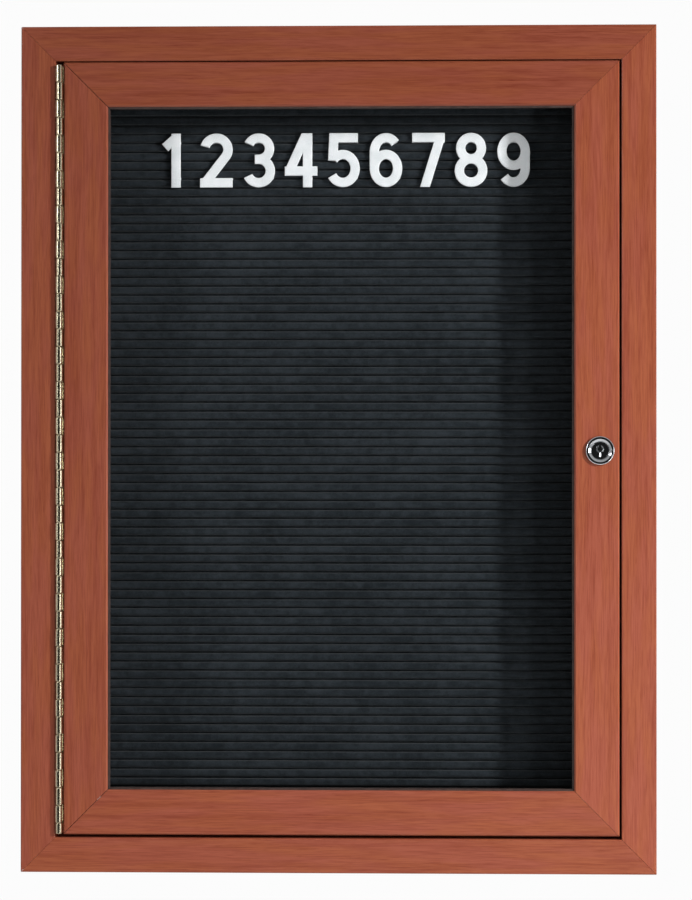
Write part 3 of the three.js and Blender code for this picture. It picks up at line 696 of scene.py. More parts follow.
panel_low, panel_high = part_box("letter_panel")
grooves_up = int((panel_high.z - GROOVE_MARGIN - GROOVE_ABOVE_MIDDLE) / GROOVE_PITCH)
grooves_down = int((GROOVE_ABOVE_MIDDLE - panel_low.z - GROOVE_MARGIN) / GROOVE_PITCH)
slat_height = GROOVE_PITCH - SLOT_WIDTH
top_slot = GROOVE_ABOVE_MIDDLE + grooves_up * GROOVE_PITCH
bottom_slot = GROOVE_ABOVE_MIDDLE - grooves_down * GROOVE_PITCH


def slatted_panel():
    recipe = Recipe("letter slats", {
        "Pitch": GROOVE_PITCH,
        "Lowest": bottom_slot + GROOVE_PITCH / 2,
        "Slats": grooves_up + grooves_down,
        "Half height": slat_height / 2,
        "Half depth": (SLOT_DEPTH + SLAT_SINK) / 2,
        "Half width": (panel_high.x - panel_low.x) / 2,
        "Front": panel_low.y,
        "Slot depth": SLOT_DEPTH,
        "Rear": panel_high.y,
        "Top": panel_high.z,
        "Top slat": panel_high.z - top_slot - SLOT_WIDTH / 2,
        "Bottom slat": bottom_slot - SLOT_WIDTH / 2 - panel_low.z,
        "Hole radius": 3.6 * MM,
        "Hole side": 179.6 * MM,
        "Hole height": 255.8 * MM,
    })
    across, up, _ = recipe.parts(recipe.add("GeometryNodeInputPosition"))
    bulged = [
        recipe.maths("POWER", recipe.maths("ABSOLUTE", along), SQUARENESS) * recipe.maths("SIGN", along)
        for along in (across, up)
    ]
    half_depth = recipe["Half depth"]
    half_height = recipe["Half height"]
    section = recipe.add("GeometryNodeSetPosition", {
        "Geometry": recipe.circle(SECTION_POINTS, 1.0),
        "Position": recipe.vector(bulged[0] * half_depth, bulged[1] * half_height),
    })
    half_width = recipe["Half width"]
    run = recipe.add("GeometryNodeCurvePrimitiveLine", {
        "Start": recipe.vector(x=0.0 - half_width),
        "End": recipe.vector(x=half_width),
    })
    slat = recipe.swept(run, section)
    middle_y = recipe["Front"] + half_depth
    lowest = recipe.vector(y=middle_y, z=recipe["Lowest"])
    line = recipe.row(recipe["Slats"], lowest, recipe.vector(z=recipe["Pitch"]))
    slats = recipe.add("GeometryNodeRealizeInstances", {"Geometry": recipe.instances(line, slat)})
    ends = []
    for name, side in (("Top slat", 1), ("Bottom slat", -1)):
        tall = recipe[name]
        place = recipe.vector(y=middle_y, z=(recipe["Top"] - tall * 0.5) * side)
        stretch = recipe.vector(1, 1, tall * 0.5 / half_height)
        ends.append(recipe.moved(slat, place, scale=stretch))
    slot_floor = recipe["Front"] + recipe["Slot depth"]
    rear = recipe["Rear"]
    base = recipe.moved(
        recipe.block(half_width * 2, rear - slot_floor, recipe["Top"] * 2),
        recipe.vector(y=(rear + slot_floor) * 0.5),
    )
    bar = recipe.bar(recipe["Hole radius"], rear * -DRILL_SPAN, HOLE_SIDES)
    drill = recipe.moved(bar, turn=(pi / 2, 0, 0))
    drills = [
        recipe.moved(drill, recipe.vector(recipe["Hole side"] * x, 0, recipe["Hole height"] * z))
        for x in (-1, 1)
        for z in (-1, 1)
    ]
    drilled = recipe.cut(recipe.joined(base, slats, *ends), *drills)
    return recipe.made("felt_letter_panel", drilled, finishes["letter_felt"])


panel = smoothed(slatted_panel())
hand_over(panel, "cabinet", "letter_felt", ["letter_panel"])
print("slats:", grooves_up + grooves_down, "faces:", len(panel.data.polygons))

# %% [markdown]
# ## Numerals
#
# Each numeral is a flat white moulding with softly rounded rims and two strips of tabs behind it.
# Its strokes overlap, so they have to become one outline first. A constrained triangulation tells
# which triangles lie inside any stroke, and the edges that only one of them has are the rims. A 2D
# curve along those rims then gets its thickness and its round edge from Extrude and Bevel.

# %% Strokes of the numerals
NUMERAL_WIDTH = 24 * MM
NUMERAL_HEIGHT = 39.8 * MM
NUMERAL_STROKE = 6.9 * MM
ARC_STEP = 6

# A line is its two ends and an arc is its middle, its two radii and its first and last angle. Places
# and radii are shares of the numeral's width and height, from its middle. Angles are in degrees.
STROKES = {
    1: ([(0.06, -0.5, 0.06, 0.5), (0.06, 0.42, -0.28, 0.24)], []),
    2: ([(0.272, 0.064, -0.34, -0.413), (-0.5, -0.413, 0.5, -0.413)], [(0, 0.2, 0.356, 0.213, -44, 165)]),
    3: ([(-0.12, 0.02, 0.02, 0.02)],
        [(0, 0.2165, 0.33, 0.1965, -90, 155), (0, -0.1965, 0.356, 0.2165, -155, 90)]),
    4: ([(0.2, -0.5, 0.2, 0.5), (-0.5, -0.2, 0.5, -0.2), (-0.36, -0.2, 0.15, 0.47)], []),
    5: ([(-0.34, 0.413, 0.44, 0.413), (-0.29, 0.5, -0.33, -0.01)],
        [(-0.02, -0.155, 0.376, 0.258, -150, 140)]),
    6: ([(-0.356, 0.15, -0.356, -0.155)],
        [(0, 0.15, 0.356, 0.263, 38, 180), (0, -0.155, 0.356, 0.258, 0, 360)]),
    7: ([(-0.5, 0.413, 0.5, 0.413), (0.37, 0.43, -0.14, -0.56)], []),
    8: ([], [(0, 0.215, 0.315, 0.198, 0, 360), (0, -0.198, 0.356, 0.215, 0, 360)]),
    9: ([(0.356, -0.15, 0.356, 0.155)],
        [(0, -0.15, 0.356, 0.263, -142, 0), (0, 0.155, 0.356, 0.258, 0, 360)]),
}


def line_stroke(start_x, start_z, end_x, end_z):
    start = Vector((start_x * NUMERAL_WIDTH, start_z * NUMERAL_HEIGHT))
    end = Vector((end_x * NUMERAL_WIDTH, end_z * NUMERAL_HEIGHT))
    aside = (end - start).normalized().orthogonal() * NUMERAL_STROKE / 2
    return [[start + aside, start - aside, end - aside, end + aside]]


def arc_stroke(middle_x, middle_z, radius_x, radius_z, first, last):
    middle = Vector((middle_x * NUMERAL_WIDTH, middle_z * NUMERAL_HEIGHT))
    radii = (radius_x * NUMERAL_WIDTH, radius_z * NUMERAL_HEIGHT)
    steps = round((last - first) / ARC_STEP)

    def rim(side, step):
        angle = radians(first + (last - first) * step / steps)
        reach = [radius + side * NUMERAL_STROKE / 2 for radius in radii]
        return middle + Vector((reach[0] * cos(angle), reach[1] * sin(angle)))

    return [[rim(-1, step), rim(1, step), rim(1, step + 1), rim(-1, step + 1)] for step in range(steps)]


def rectangle(half_width, low, high):
    corners = ((-half_width, low), (half_width, low), (half_width, high), (-half_width, high))
    return [Vector(corner) for corner in corners]


# %% From strokes to rims
TINY = 0.001 * MM
SHORTEST_STEP = 0.3 * MM


def without_tiny_steps(loop):
    """Drops the points that are nearly on the one before, because a rim can't be rounded there."""
    kept = []
    for spot in loop:
        if not kept or min((spot - kept[0]).length, (spot - kept[-1]).length) > SHORTEST_STEP:
            kept.append(spot)
    return kept


def rims(masks, strokes):
    """The outlines of what lies in every mask and in at least one stroke."""
    shapes = [*masks, *strokes]
    points = [point for shape in shapes for point in shape]
    starts = [sum(len(shape) for shape in shapes[:index]) for index in range(len(shapes))]
    corners = [list(range(start, start + len(shape))) for start, shape in zip(starts, shapes)]
    spots, _, triangles, _, _, sources = delaunay_2d_cdt(points, [], corners, 1, TINY, True)
    sides = set()
    for triangle, inside in zip(triangles, sources):
        if set(range(len(masks))) < set(inside):
            sides.update(zip(triangle, triangle[1:] + triangle[:1]))
    following = {start: end for start, end in sides if (end, start) not in sides}
    loops = []
    while following:
        first, spot = following.popitem()
        loop = [first]
        while spot != first:
            loop.append(spot)
            spot = following.pop(spot)
        loops.append(without_tiny_steps([spots[index] for index in loop]))
    return loops


def moulding(name, loops, front, rear, rim_round):
    """A plate between those two depths whose outline is the loops, with a round edge."""
    curve = bpy.data.curves.new(name, "CURVE")
    curve.dimensions = "2D"
    curve.fill_mode = "BOTH"
    for loop in loops:
        spline = curve.splines.new("POLY")
        spline.points.add(len(loop) - 1)
        for point, spot in zip(spline.points, loop):
            point.co = (spot.x, spot.y, 0, 1)
        spline.use_cyclic_u = True
    curve.offset = -rim_round
    curve.bevel_depth = rim_round
    curve.bevel_resolution = 2
    curve.extrude = (rear - front) / 2 - rim_round
    piece = new_object(name, curve)
    mesh = shown_mesh(piece)
    bpy.data.objects.remove(piece)
    mesh.transform(Matrix.Translation((0, (front + rear) / 2, 0)) @ Matrix.Rotation(pi / 2, 4, "X"))
    return mesh


# %% Nine numerals
TAB_HEIGHT = 1.3 * MM
TAB_DEPTH = 3.2 * MM
TAB_GROOVES = 2
RIM_ROUND = 0.6 * MM
TAB_ROUND = 0.08 * MM
MOULD_WELD = 0.01 * MM
ROW_MIDDLE = Vector((3 * MM, 0, 212.56 * MM))
ROW_PITCH = 31.2 * MM


def moulded_numeral(number, low, high):
    """The face and the tabs of a numeral in one mesh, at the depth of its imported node."""
    lines, arcs = STROKES[number]
    strokes = [quad for line in lines for quad in line_stroke(*line)]
    strokes += [quad for arc in arcs for quad in arc_stroke(*arc)]
    outer = rectangle(NUMERAL_WIDTH / 2, -NUMERAL_HEIGHT / 2, NUMERAL_HEIGHT / 2)
    face_rear = high.y - TAB_DEPTH
    work = bmesh.new()
    work.from_mesh(moulding("face", rims([outer], strokes), low.y, face_rear, RIM_ROUND))
    for groove in (-TAB_GROOVES, TAB_GROOVES):
        middle = groove * GROOVE_PITCH
        strip = rectangle(NUMERAL_WIDTH / 2, middle - TAB_HEIGHT / 2, middle + TAB_HEIGHT / 2)
        tabs = rims([outer, strip], strokes)
        work.from_mesh(moulding("tab", tabs, face_rear - RIM_ROUND, high.y, TAB_ROUND))
    bmesh.ops.remove_doubles(work, verts=work.verts, dist=MOULD_WELD)
    bmesh.ops.recalc_face_normals(work, faces=work.faces)
    along_row = Vector(((number - (len(STROKES) + 1) / 2) * ROW_PITCH, 0, 0))
    bmesh.ops.translate(work, verts=work.verts, vec=ROW_MIDDLE + along_row)
    return mesh_from(f"moulded_numeral_{number}", work)


for number in STROKES:
    node = f"numeral_{number}"
    low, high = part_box(node)
    numeral = smoothed(moulded_numeral(number, low, high))
    hand_over(numeral, f"{node}_body", "numeral_plastic", [node])
    print(node, "faces:", len(numeral.data.polygons))

# %% [markdown]
# ## The hinge
#
# A piano hinge is two long strips of brass sheet. Tongues of each strip are rolled round the pin,
# and the two strips take turns along its length. A rectangular section of the sheet is swept along
# one flat-then-round path, so the knuckle gets the real opening where the roll ends. One recipe
# makes both leaves: a side of -1 or 1 mirrors the path, and each leaf takes every second pitch.

# %% Rolled knuckles on a leaf
KNUCKLE_PITCH = 12.7 * MM
KNUCKLE_GAP = 0.25 * MM
KNUCKLE_RADIUS = 2.38 * MM
SHEET = 1.0 * MM
KNUCKLE_SHIFT = 0.18 * MM
ROUND_POINTS = 3
ROLL_POINTS = 26
ROLL_SWEEP = radians(325)
WEB_OVERLAP = 0.8 * MM
LEAF_FRONT = -48.4 * MM

pin_low, pin_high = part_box("hinge_pin")
hinge_x = (pin_low.x + pin_high.x) / 2
hinge_y = (pin_low.y + pin_high.y) / 2


def rolled_leaf(name, side, first, leaf_low, leaf_high):
    """A leaf with a knuckle at every second pitch from the top. The lowest may be a short one."""
    inner = leaf_low.x if side < 0 else leaf_high.x - SHEET
    knuckle = KNUCKLE_PITCH - KNUCKLE_GAP
    highest = pin_high.z - first * KNUCKLE_PITCH
    rows = int((highest - pin_low.z - knuckle) / (2 * KNUCKLE_PITCH)) + 1
    last_high = highest - rows * 2 * KNUCKLE_PITCH
    last_length = last_high - pin_low.z
    recipe = Recipe(f"{name} knuckles", {
        "Side": float(side),
        "Roll radius": KNUCKLE_RADIUS - SHEET / 2,
        "Sheet": SHEET,
        "Knuckle round": 0.48 * MM,
        "Knuckle": knuckle,
        "Shown gap": 0.38 * MM,
        "Last knuckle": max(last_length, 0.0),
        "Highest": highest,
        "Step": 2 * KNUCKLE_PITCH,
        "Knuckles": rows,
        "Leaf aside": abs(inner + SHEET / 2 - hinge_x),
        "Leaf front": LEAF_FRONT - hinge_y,
        "Leaf rear": leaf_high.y - hinge_y,
        "Leaf length": leaf_high.z - leaf_low.z,
    })
    sheet = recipe["Sheet"]
    mirror = recipe["Side"]
    index = recipe.add("GeometryNodeInputIndex")
    on_web = recipe.maths("LESS_THAN", index, 0.5)
    angle = (index - 1) * (ROLL_SWEEP / (ROLL_POINTS - 2))
    roll_x = recipe.maths("COSINE", angle) * recipe["Roll radius"]
    roll_y = recipe.maths("SINE", angle) * recipe["Roll radius"] * -1
    web_x = recipe["Leaf aside"]
    web_y = recipe["Leaf front"] + WEB_OVERLAP
    path_x = (roll_x + (web_x - roll_x) * on_web) * mirror
    path_y = roll_y + (web_y - roll_y) * on_web
    path = recipe.add("GeometryNodeMeshLine", {"Count": ROLL_POINTS})
    sockets = {"Geometry": path, "Position": recipe.vector(path_x, path_y)}
    path = recipe.add("GeometryNodeSetPosition", sockets)
    path = recipe.add("GeometryNodeMeshToCurve", {"Mesh": path})
    path = recipe.add("GeometryNodeSetCurveNormal", {"Curve": path}, mode="Z_UP")

    def rolled(length):
        sockets = {"Width": sheet, "Height": length + KNUCKLE_GAP - recipe["Shown gap"]}
        section = recipe.add("GeometryNodeCurvePrimitiveQuadrilateral", sockets)
        section = recipe.add("GeometryNodeFilletCurve", {
            "Curve": section, "Count": ROUND_POINTS, "Radius": recipe["Knuckle round"],
            "Limit Radius": True,
        }, mode="POLY")
        return recipe.swept(path, section)

    full = recipe["Knuckle"]
    top_middle = recipe.vector(z=recipe["Highest"] - full * 0.5)
    line = recipe.row(recipe["Knuckles"], top_middle, recipe.vector(z=recipe["Step"] * -1))
    parts = [recipe.instances(line, rolled(full))]
    if last_length > KNUCKLE_GAP:
        short = recipe["Last knuckle"]
        last_z = recipe["Highest"] - recipe["Knuckles"] * recipe["Step"] - short * 0.5
        parts.append(recipe.moved(rolled(short), recipe.vector(z=last_z)))
    rear, front = recipe["Leaf rear"], recipe["Leaf front"]
    strip = recipe.block(sheet, rear - front, recipe["Leaf length"])
    strip_y = (rear + front) * 0.5
    middle_z = (leaf_low.z + leaf_high.z) / 2
    parts.append(recipe.moved(strip, recipe.vector(web_x * mirror, strip_y, middle_z)))
    placed = recipe.moved(recipe.joined(*parts), (hinge_x + side * KNUCKLE_SHIFT, hinge_y, 0))
    return recipe.made(name, placed, finishes["hinge_brass"])


for body, side, first in (("cabinet", -1, 0), ("door", 1, 1)):
    node = f"hinge_leaf_{body}"
    leaf = rolled_leaf(f"brass_leaf_{body}", side, first, *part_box(node))
    hand_over(smoothed(leaf), body, "hinge_brass", [node])
    print(node, "faces:", len(leaf.data.polygons))

# %% [markdown]
# ## Turned pieces
#
# The lock's barrel and its plug are turned on a lathe. A profile of radius and depth is spun round
# an axis that points to the front, and a radius of zero closes it with a single point.

# %% A lathe
TURN_SIDES = 72


def profile(front, *corners):
    """Each corner: a radius, its step in or out, and its depth behind the front, both in millimetres."""
    return [(radius + step * MM, front + depth * MM) for radius, step, depth in corners]


def turned(name, pairs, middle_x, middle_z, closed=False):
    """Spins pairs of radius and depth round the line through that x and z."""
    work = bmesh.new()
    rings = []
    for radius, depth in pairs:
        turns = TURN_SIDES if radius > 0 else 1
        angles = [2 * pi * turn / TURN_SIDES for turn in range(turns)]
        rings.append([
            work.verts.new((middle_x + radius * cos(angle), depth, middle_z + radius * sin(angle)))
            for angle in angles
        ])
    bands = list(zip(rings, rings[1:]))
    if closed:
        bands.append((rings[-1], rings[0]))
    for ring, following in bands:
        for turn in range(TURN_SIDES):
            later = (turn + 1) % TURN_SIDES
            corners = [ring[turn % len(ring)], ring[later % len(ring)],
                       following[later % len(following)], following[turn % len(following)]]
            work.faces.new(list(dict.fromkeys(corners)))
    bmesh.ops.recalc_face_normals(work, faces=work.faces)
    return mesh_from(name, work)


def combine(piece, other, operation):
    """Joins another piece to this one, or cuts it out, and removes the other."""
    modifier = piece.modifiers.new(operation, "BOOLEAN")
    modifier.operation = operation
    modifier.solver = "EXACT"
    modifier.object = other
    applied(piece)
    bpy.data.objects.remove(other)


def box_piece(name, low, high):
    work = bmesh.new()
    bmesh.ops.create_cube(work, size=1)
    bmesh.ops.scale(work, verts=work.verts, vec=Vector(high) - Vector(low))
    bmesh.ops.translate(work, verts=work.verts, vec=(Vector(high) + Vector(low)) / 2)
    return mesh_from(name, work)


# %% [markdown]
# ## The cam lock
#
# In front there is a chrome bezel with a soft outer edge, a bright rim and a slope down to the
# plug. Behind the door's face the barrel has two flats that keep it from turning. The plug has a
# raised ring round a keyhole with an upright slot, where the first wafer shows and catches light.
# Behind it sit the cam and its screw.

# %% Barrel and plug
LOCK_X = 188.1 * MM
LOCK_Z = -1.0 * MM
BEZEL_RADIUS = 10.5 * MM
BEZEL_RIM_RADIUS = 8.4 * MM
BEZEL_DROP = 1.0 * MM
BEZEL_REAR = -50.9 * MM
BARREL_RADIUS = 7.9 * MM
BARREL_FLAT = 7.4 * MM
BORE_RADIUS = 6.7 * MM
PLUG_RADIUS = 6.4 * MM
PLUG_REAR = -25.25 * MM
TAIL_HALF = 3.0 * MM
KEY_RING_RADIUS = 2.7 * MM
KEY_RING_HEIGHT = 0.5 * MM
KEYHOLE_RADIUS = 1.9 * MM
KEYHOLE_RAISE = 1.2 * MM
KEYWAY_HALF_WIDTH = 0.75 * MM
KEYWAY_HALF_HEIGHT = 4.3 * MM
KEYWAY_DEPTH = 9 * MM
WAFER_HALF_WIDTH = 0.6 * MM
WAFER_DEPTH = 0.6 * MM
WAFER_ROOT = 0.3 * MM
WAFER_REACH = 2.7 * MM
WAFER_SINK = 0.12 * MM
WAFER_TURN = radians(-27.3)
PLUG_EDGE_ROUND = 0.18 * MM
OVERLAP = 1 * MM

barrel_low, barrel_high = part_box("lock_barrel")
barrel = turned("chrome_lock_barrel", [
    (BORE_RADIUS, barrel_high.y),
    (BORE_RADIUS, barrel_low.y + BEZEL_DROP),
    *profile(barrel_low.y, (BEZEL_RIM_RADIUS, -0.15, 0.06), (BEZEL_RIM_RADIUS, 0, 0),
             (BEZEL_RADIUS, -1.1, 0), (BEZEL_RADIUS, -0.65, 0.12), (BEZEL_RADIUS, -0.25, 0.45),
             (BEZEL_RADIUS, 0, 1.0)),
    *profile(BEZEL_REAR, (BEZEL_RADIUS, 0, -0.1), (BEZEL_RADIUS, -0.1, 0), (BARREL_RADIUS, 0, 0)),
    *profile(barrel_high.y, (BARREL_RADIUS, 0, -0.3), (BARREL_RADIUS, -0.3, 0)),
], LOCK_X, LOCK_Z, closed=True)
for vertex in barrel.data.vertices:
    aside = vertex.co.x - LOCK_X
    if vertex.co.y > BEZEL_REAR + TINY and abs(aside) > BARREL_FLAT:
        vertex.co.x = LOCK_X + (BARREL_FLAT if aside > 0 else -BARREL_FLAT)
hand_over(smoothed(barrel), "door", "lock_chrome", ["lock_barrel"])

plug_low, plug_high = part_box("lock_plug")
plug_front = plug_low.y + KEY_RING_HEIGHT
key_z = LOCK_Z + KEYHOLE_RAISE
cutter_front = plug_low.y - OVERLAP
keyway_end = plug_front + KEYWAY_DEPTH
plug = turned("chrome_lock_plug", [
    *profile(plug_front, (0, 0, 0), (PLUG_RADIUS, -0.35, 0), (PLUG_RADIUS, -0.1, 0.1),
             (PLUG_RADIUS, 0, 0.35)),
    (PLUG_RADIUS, PLUG_REAR),
    (0, PLUG_REAR),
], LOCK_X, LOCK_Z)
ring = turned("ring", [
    *profile(plug_low.y, (0, 0, 0.3), (KEYHOLE_RADIUS, 0, 0.2), (KEYHOLE_RADIUS, 0.2, 0.04),
             (KEYHOLE_RADIUS, 0.4, 0), (KEYHOLE_RADIUS, 0.6, 0.06), (KEY_RING_RADIUS, -0.05, 0.25),
             (KEY_RING_RADIUS, 0, 0.4)),
    (KEY_RING_RADIUS, plug_front + OVERLAP),
    (0, plug_front + OVERLAP),
], LOCK_X, key_z)
tail = box_piece("tail", (LOCK_X - TAIL_HALF, PLUG_REAR - OVERLAP, LOCK_Z - TAIL_HALF),
                 (LOCK_X + TAIL_HALF, plug_high.y, LOCK_Z + TAIL_HALF))
keyhole = turned("keyhole", [
    (0, cutter_front),
    (KEYHOLE_RADIUS, cutter_front),
    (KEYHOLE_RADIUS, keyway_end),
    (0, keyway_end),
], LOCK_X, key_z)
keyway = box_piece("keyway", (LOCK_X - KEYWAY_HALF_WIDTH, cutter_front, LOCK_Z - KEYWAY_HALF_HEIGHT),
                   (LOCK_X + KEYWAY_HALF_WIDTH, keyway_end, LOCK_Z + KEYWAY_HALF_HEIGHT))
wafer = box_piece("wafer", (-WAFER_HALF_WIDTH, 0, -KEYWAY_HALF_HEIGHT - WAFER_ROOT),
                  (WAFER_HALF_WIDTH, WAFER_DEPTH, -KEYWAY_HALF_HEIGHT + WAFER_REACH))
wafer_place = Matrix.Translation((LOCK_X, plug_front + WAFER_SINK, LOCK_Z))
wafer.data.transform(wafer_place @ Matrix.Rotation(WAFER_TURN, 4, "Z"))
for other in (ring, tail):
    combine(plug, other, "UNION")
for other in (keyhole, keyway):
    combine(plug, other, "DIFFERENCE")
combine(plug, wafer, "UNION")
smoothed(bevelled(plug, PLUG_EDGE_ROUND, segments=2))
hand_over(plug, "lock", "lock_chrome", ["lock_plug"])
print("plug faces:", len(plug.data.polygons))

# %% [markdown]
# ## Screws
#
# All screws have a slotted head. A flattened crown, a low cone and a threaded shank are joined, and
# a bar cuts the slot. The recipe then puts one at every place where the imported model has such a
# screw, turned so that it points into its rail, and each is left at an angle of its own.

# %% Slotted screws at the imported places
SCREW_SIDES = 24
THREAD_SIDES = 10
RIDGE_SIDES = 4
CORE_SHARE = 0.85
THREAD_SHARE = 0.9
THREAD_END = 0.98
SLOT_SEED = 3


def seat_of(node, up, crown):
    """Where a screw's head sits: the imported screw's end in the direction up, less its crown."""
    low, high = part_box(node)
    return (low + high) / 2 + up * (abs((high - low).dot(up)) / 2 - crown)


def slotted_screws(name, packed, turn, sizes, finish):
    """Screws at those nodes. Each one is modelled with its head up and its seat at the origin."""
    recipe = Recipe(name, sizes)
    head_radius = recipe["Head radius"]
    crown = recipe["Crown"]
    sunk = recipe["Sunk depth"]
    shank = recipe["Shank radius"]
    length = recipe["Length"]
    ball = recipe.add("GeometryNodeMeshUVSphere", {
        "Segments": SCREW_SIDES, "Rings": SCREW_SIDES // 2, "Radius": 1.0,
    })
    dome = recipe.moved(ball, scale=recipe.vector(head_radius, head_radius, crown))
    cone = recipe.add("GeometryNodeMeshCone", {
        "Vertices": SCREW_SIDES, "Radius Top": head_radius, "Radius Bottom": shank, "Depth": sunk,
    })
    cone = recipe.moved(cone, recipe.vector(z=0.0 - sunk))
    core_radius = shank * CORE_SHARE
    core = recipe.bar(core_radius, length, SCREW_SIDES // 2)
    core = recipe.moved(core, recipe.vector(z=length * -0.5))
    threaded = length * THREAD_SHARE
    helix = recipe.add("GeometryNodeCurveSpiral", {
        "Resolution": THREAD_SIDES, "Rotations": threaded / recipe["Thread pitch"],
        "Start Radius": core_radius, "End Radius": core_radius, "Height": threaded,
    })
    thread = recipe.swept(helix, recipe.circle(RIDGE_SIDES, shank * (1 - CORE_SHARE)))
    thread = recipe.moved(thread, recipe.vector(z=length * -THREAD_END))
    slot = recipe.block(head_radius * 3, recipe["Slot width"], recipe["Slot depth"] * 2)
    topped = recipe.cut(recipe.joined(dome, cone), recipe.moved(slot, recipe.vector(z=crown)))
    placed = recipe.instances(recipe["Geometry"], recipe.joined(topped, core, thread), turn=turn)
    limits = {2: 0.0, 3: pi, "Seed": SLOT_SEED}
    spin = recipe.add("FunctionNodeRandomValue", limits, 1, data_type="FLOAT")
    sockets = {"Instances": placed, "Rotation": recipe.vector(z=spin)}
    spun = recipe.add("GeometryNodeRotateInstances", sockets)
    up = Vector((0, 0, 1))
    up.rotate(Euler(turn))
    return recipe.made(name, spun, finish, [seat_of(node, up, sizes["Crown"]) for node in packed])


SCREW_SIZES = (
    "Head radius", "Crown", "Sunk depth", "Shank radius", "Length", "Thread pitch", "Slot width", "Slot depth"
)
HINGE_SCREW = (3.0, 0.7, 0.3, 1.5, 7.0, 1.0, 0.8, 0.45)
PANEL_SCREW = (3.8, 0.15, 2.2, 1.6, 12.8, 1.3, 1.0, 0.8)
CAM_SCREW = (5.0, 1.8, 0.01, 1.7, 7.0, 0.8, 1.2, 1.0)
SCREW_GROUPS = [
    ("brass_screws_cabinet", "cabinet", "hinge_brass", "hinge_screw_cabinet", (0, pi / 2, 0), HINGE_SCREW),
    ("brass_screws_door", "door", "hinge_brass", "hinge_screw_door", (0, -pi / 2, 0), HINGE_SCREW),
    ("zinc_panel_screws", "cabinet", "zinc_steel", "panel_screw", (-pi / 2, 0, 0), PANEL_SCREW),
    ("zinc_cam_screw", "lock", "zinc_steel", "cam_screw", (-pi / 2, 0, 0), CAM_SCREW),
]
for name, body, slot, start, turn, lengths in SCREW_GROUPS:
    packed = sorted(node for node in nodes if node.startswith(start))
    sizes = {size: length * MM for size, length in zip(SCREW_SIZES, lengths)}
    screws = smoothed(slotted_screws(name, packed, turn, sizes, finishes[slot]))
    hand_over(screws, body, slot, packed)
    print(name, "screws:", len(packed), "faces:", len(screws.data.polygons))

# %% [markdown]
# ## Camera
#
# The camera stands nearly square in front of the board, a little to the right of its middle. Its
# place and focal length come from the four outer corners in the photograph.

# %% Camera
FOCAL_PIXELS = 2502.91
IMAGE_HEIGHT = 900
SENSOR = 36.0
CAMERA_PLACE = (53.32 * MM, -1849.07 * MM, -9.19 * MM)
CAMERA_YAW = radians(1.5089)
CAMERA_PITCH = radians(0.27314)
CAMERA_ROLL = radians(-0.0165)
CLIPPING = (0.05, 50)

camera_data = bpy.data.cameras.new("camera")
camera_data.lens = FOCAL_PIXELS * SENSOR / IMAGE_HEIGHT
camera_data.sensor_width = SENSOR
camera_data.clip_start, camera_data.clip_end = CLIPPING
camera = new_object("camera", camera_data)
facing = (Matrix.Rotation(CAMERA_YAW, 4, "Z") @ Matrix.Rotation(CAMERA_PITCH, 4, "X")
          @ Matrix.Rotation(CAMERA_ROLL, 4, "Y") @ Matrix.Rotation(pi / 2, 4, "X"))
camera.matrix_world = Matrix.Translation(CAMERA_PLACE) @ facing
bpy.context.scene.camera = camera

# %% [markdown]
# ## Light and backdrop
#
# Two small lamps at the upper right and left throw the frame's shadows on the letter panel, with an
# edge as crisp as a small lamp gives. One at the lower right throws a second, narrower shadow, a
# broad low one fills them, and two behind light the back and the top. They light matt surfaces only.
# Brass, chrome and foil get their highlights from four cards that only shiny surfaces see, because
# a card can be aimed at one highlight without changing the light elsewhere.

# %% Lamps and cards
def area_lamp(name, place, aim, size, power, seen_in_mirrors):
    """A soft lamp that either lights the matt surfaces or is only seen in the shiny ones."""
    data = bpy.data.lights.new(name, "AREA")
    data.shape = "RECTANGLE"
    data.size, data.size_y = size
    data.energy = power
    lamp = new_object(name, data)
    lamp.location = place
    lamp.rotation_euler = (Vector(aim) - Vector(place)).to_track_quat("-Z", "Y").to_euler()
    lamp.visible_camera = False
    lamp.visible_glossy = seen_in_mirrors
    lamp.visible_diffuse = not seen_in_mirrors


# Each lamp: its place, the spot that it is aimed at, its width and height, and its power in watts.
LAMPS = {
    "right_key": ((1.61, -1.17, 0.6), (0, 0, 0), (0.14, 0.35), 47),
    "left_key": ((-1.34, -1.0, 0.45), (0, 0, 0), (0.14, 0.3), 8.3),
    "middle_lamp": ((1.2, -1.53, -0.3), (0, 0, 0), (0.25, 0.3), 9.4),
    "front_fill": ((0.3, -1.5, -0.35), (0, 0, 0), (0.8, 0.5), 2.7),
    "left_high_card": ((-1.1, -1.12, 0.48), (-0.2, 0, 0.25), (0.25, 0.45), 3.2),
    "left_low_card": ((-1.1, -1.12, -0.05), (0.188, -0.05, 0), (0.1, 0.25), 0.35),
    "right_high_card": ((1.25, -0.62, 0.0), (-0.2, 0, 0), (0.25, 0.4), 2.0),
    "right_low_card": ((0.9, -0.91, -0.45), (-0.2, 0, -0.2), (0.2, 0.5), 1.3),
    "rear_lamp": ((0.9, 1.9, 0.7), (0, 0, 0), (0.8, 0.8), 25),
    "top_lamp": ((0.2, 0.5, 1.5), (0, 0, 0.3), (0.6, 0.6), 9),
}
for name, (place, aim, size, power) in LAMPS.items():
    area_lamp(name, place, aim, size, power, name.endswith("card"))
print("lamps and cards:", len(LAMPS))

# %% [markdown]
# ## A white room
#
# The world looks white to the camera and to rays that pass through the window, but a mirror sees
# white only behind the board, so that the window in front of the black panel stays dark. The floor
# lets that white through more and more towards its edge, so that no edge shows.

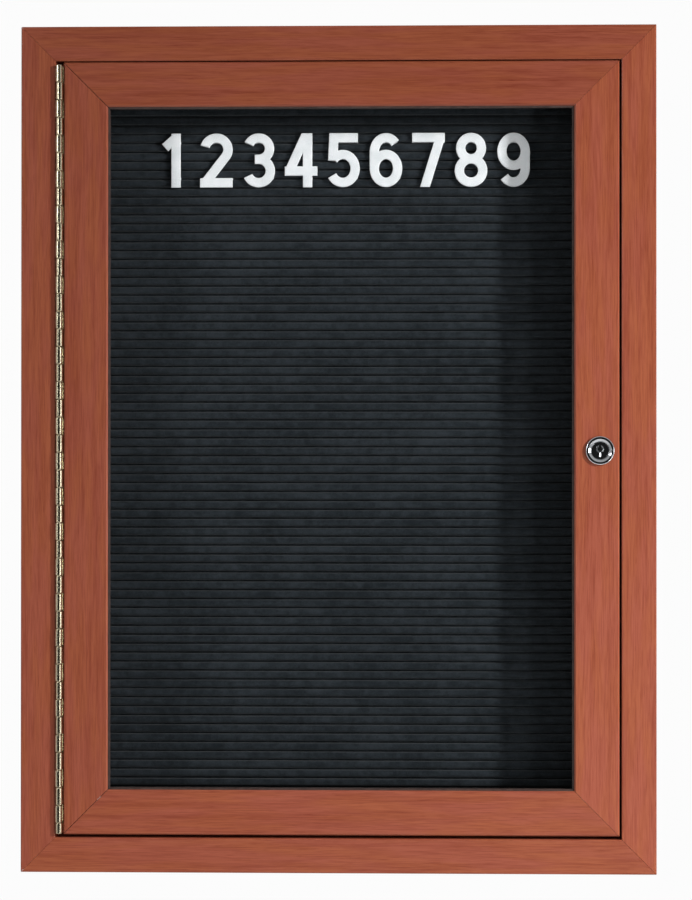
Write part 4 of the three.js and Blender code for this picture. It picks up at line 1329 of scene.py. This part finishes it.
# %% World and floor
WORLD_WHITE = (0.973, 0.973, 0.973, 1.0)
AMBIENT = (0.12, 0.12, 0.12, 1.0)
MIRROR_FRONT = (0.012, 0.012, 0.012, 1.0)
MIRROR_SIDE = (0.45, 0.45, 0.45, 1.0)
FRONT_TO_SIDE = (-0.9, -0.4)
SIDE_TO_REAR = (-0.05, 0.1)
world = bpy.data.worlds.new("studio")
world.use_nodes = True
world.node_tree.nodes.clear()
bpy.context.scene.world = world
tree = Tree(world.node_tree)
to_camera, to_mirror, through_pane = (
    tree.add("ShaderNodeLightPath", output=f"Is {kind} Ray") for kind in ("Camera", "Glossy", "Transmission")
)
direction = tree.parts(tree.add("ShaderNodeTexCoord", output="Generated"))
mirrored = tree.mixed(tree.remap(direction[1], *FRONT_TO_SIDE), MIRROR_FRONT, MIRROR_SIDE)
mirrored = tree.mixed(tree.remap(direction[1], *SIDE_TO_REAR), mirrored, WORLD_WHITE)
around = tree.mixed(to_mirror, AMBIENT, mirrored)
shown = tree.mixed(tree.maths("MAXIMUM", to_camera, through_pane), around, WORLD_WHITE)
sky = tree.add("ShaderNodeBackground", {"Color": shown, "Strength": 1.0})
tree.node("ShaderNodeOutputWorld", {"Surface": sky})

FLOOR_SIZE = 3.2
FLOOR_Z = -0.65
FLOOR_FADE = (0.9, 1.55)
CLEAR_SHARE = (0.5, 1.0)
floor_work = bmesh.new()
bmesh.ops.create_grid(floor_work, x_segments=1, y_segments=1, size=FLOOR_SIZE / 2)
bmesh.ops.translate(floor_work, verts=floor_work.verts, vec=(0, 0, FLOOR_Z))
floor = mesh_from("pale_floor", floor_work)
tree = Finish("pale_floor")
away = tree.vectors("LENGTH", tree.place, output="Value")
paint = tree.add("ShaderNodeBsdfDiffuse", {"Color": colour(236, 236, 236)})
nothing = tree.add("ShaderNodeBsdfTransparent", {"Color": (1, 1, 1, 1)})
share = tree.remap(away, *FLOOR_FADE, *CLEAR_SHARE)
faded = tree.add("ShaderNodeMixShader", {0: share, 1: paint, 2: nothing})
floor.data.materials.append(tree.ended(faded))
floor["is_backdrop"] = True
bpy.context.scene.view_settings.view_transform = "Standard"

# %% Sizes, and the end
dressed_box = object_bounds()
sizes = {
    "cad": [list(corner) for corner in cad_box],
    "dressed": [list(corner) for corner in dressed_box],
}
print("dressed in millimetres:", in_millimetres(dressed_box))
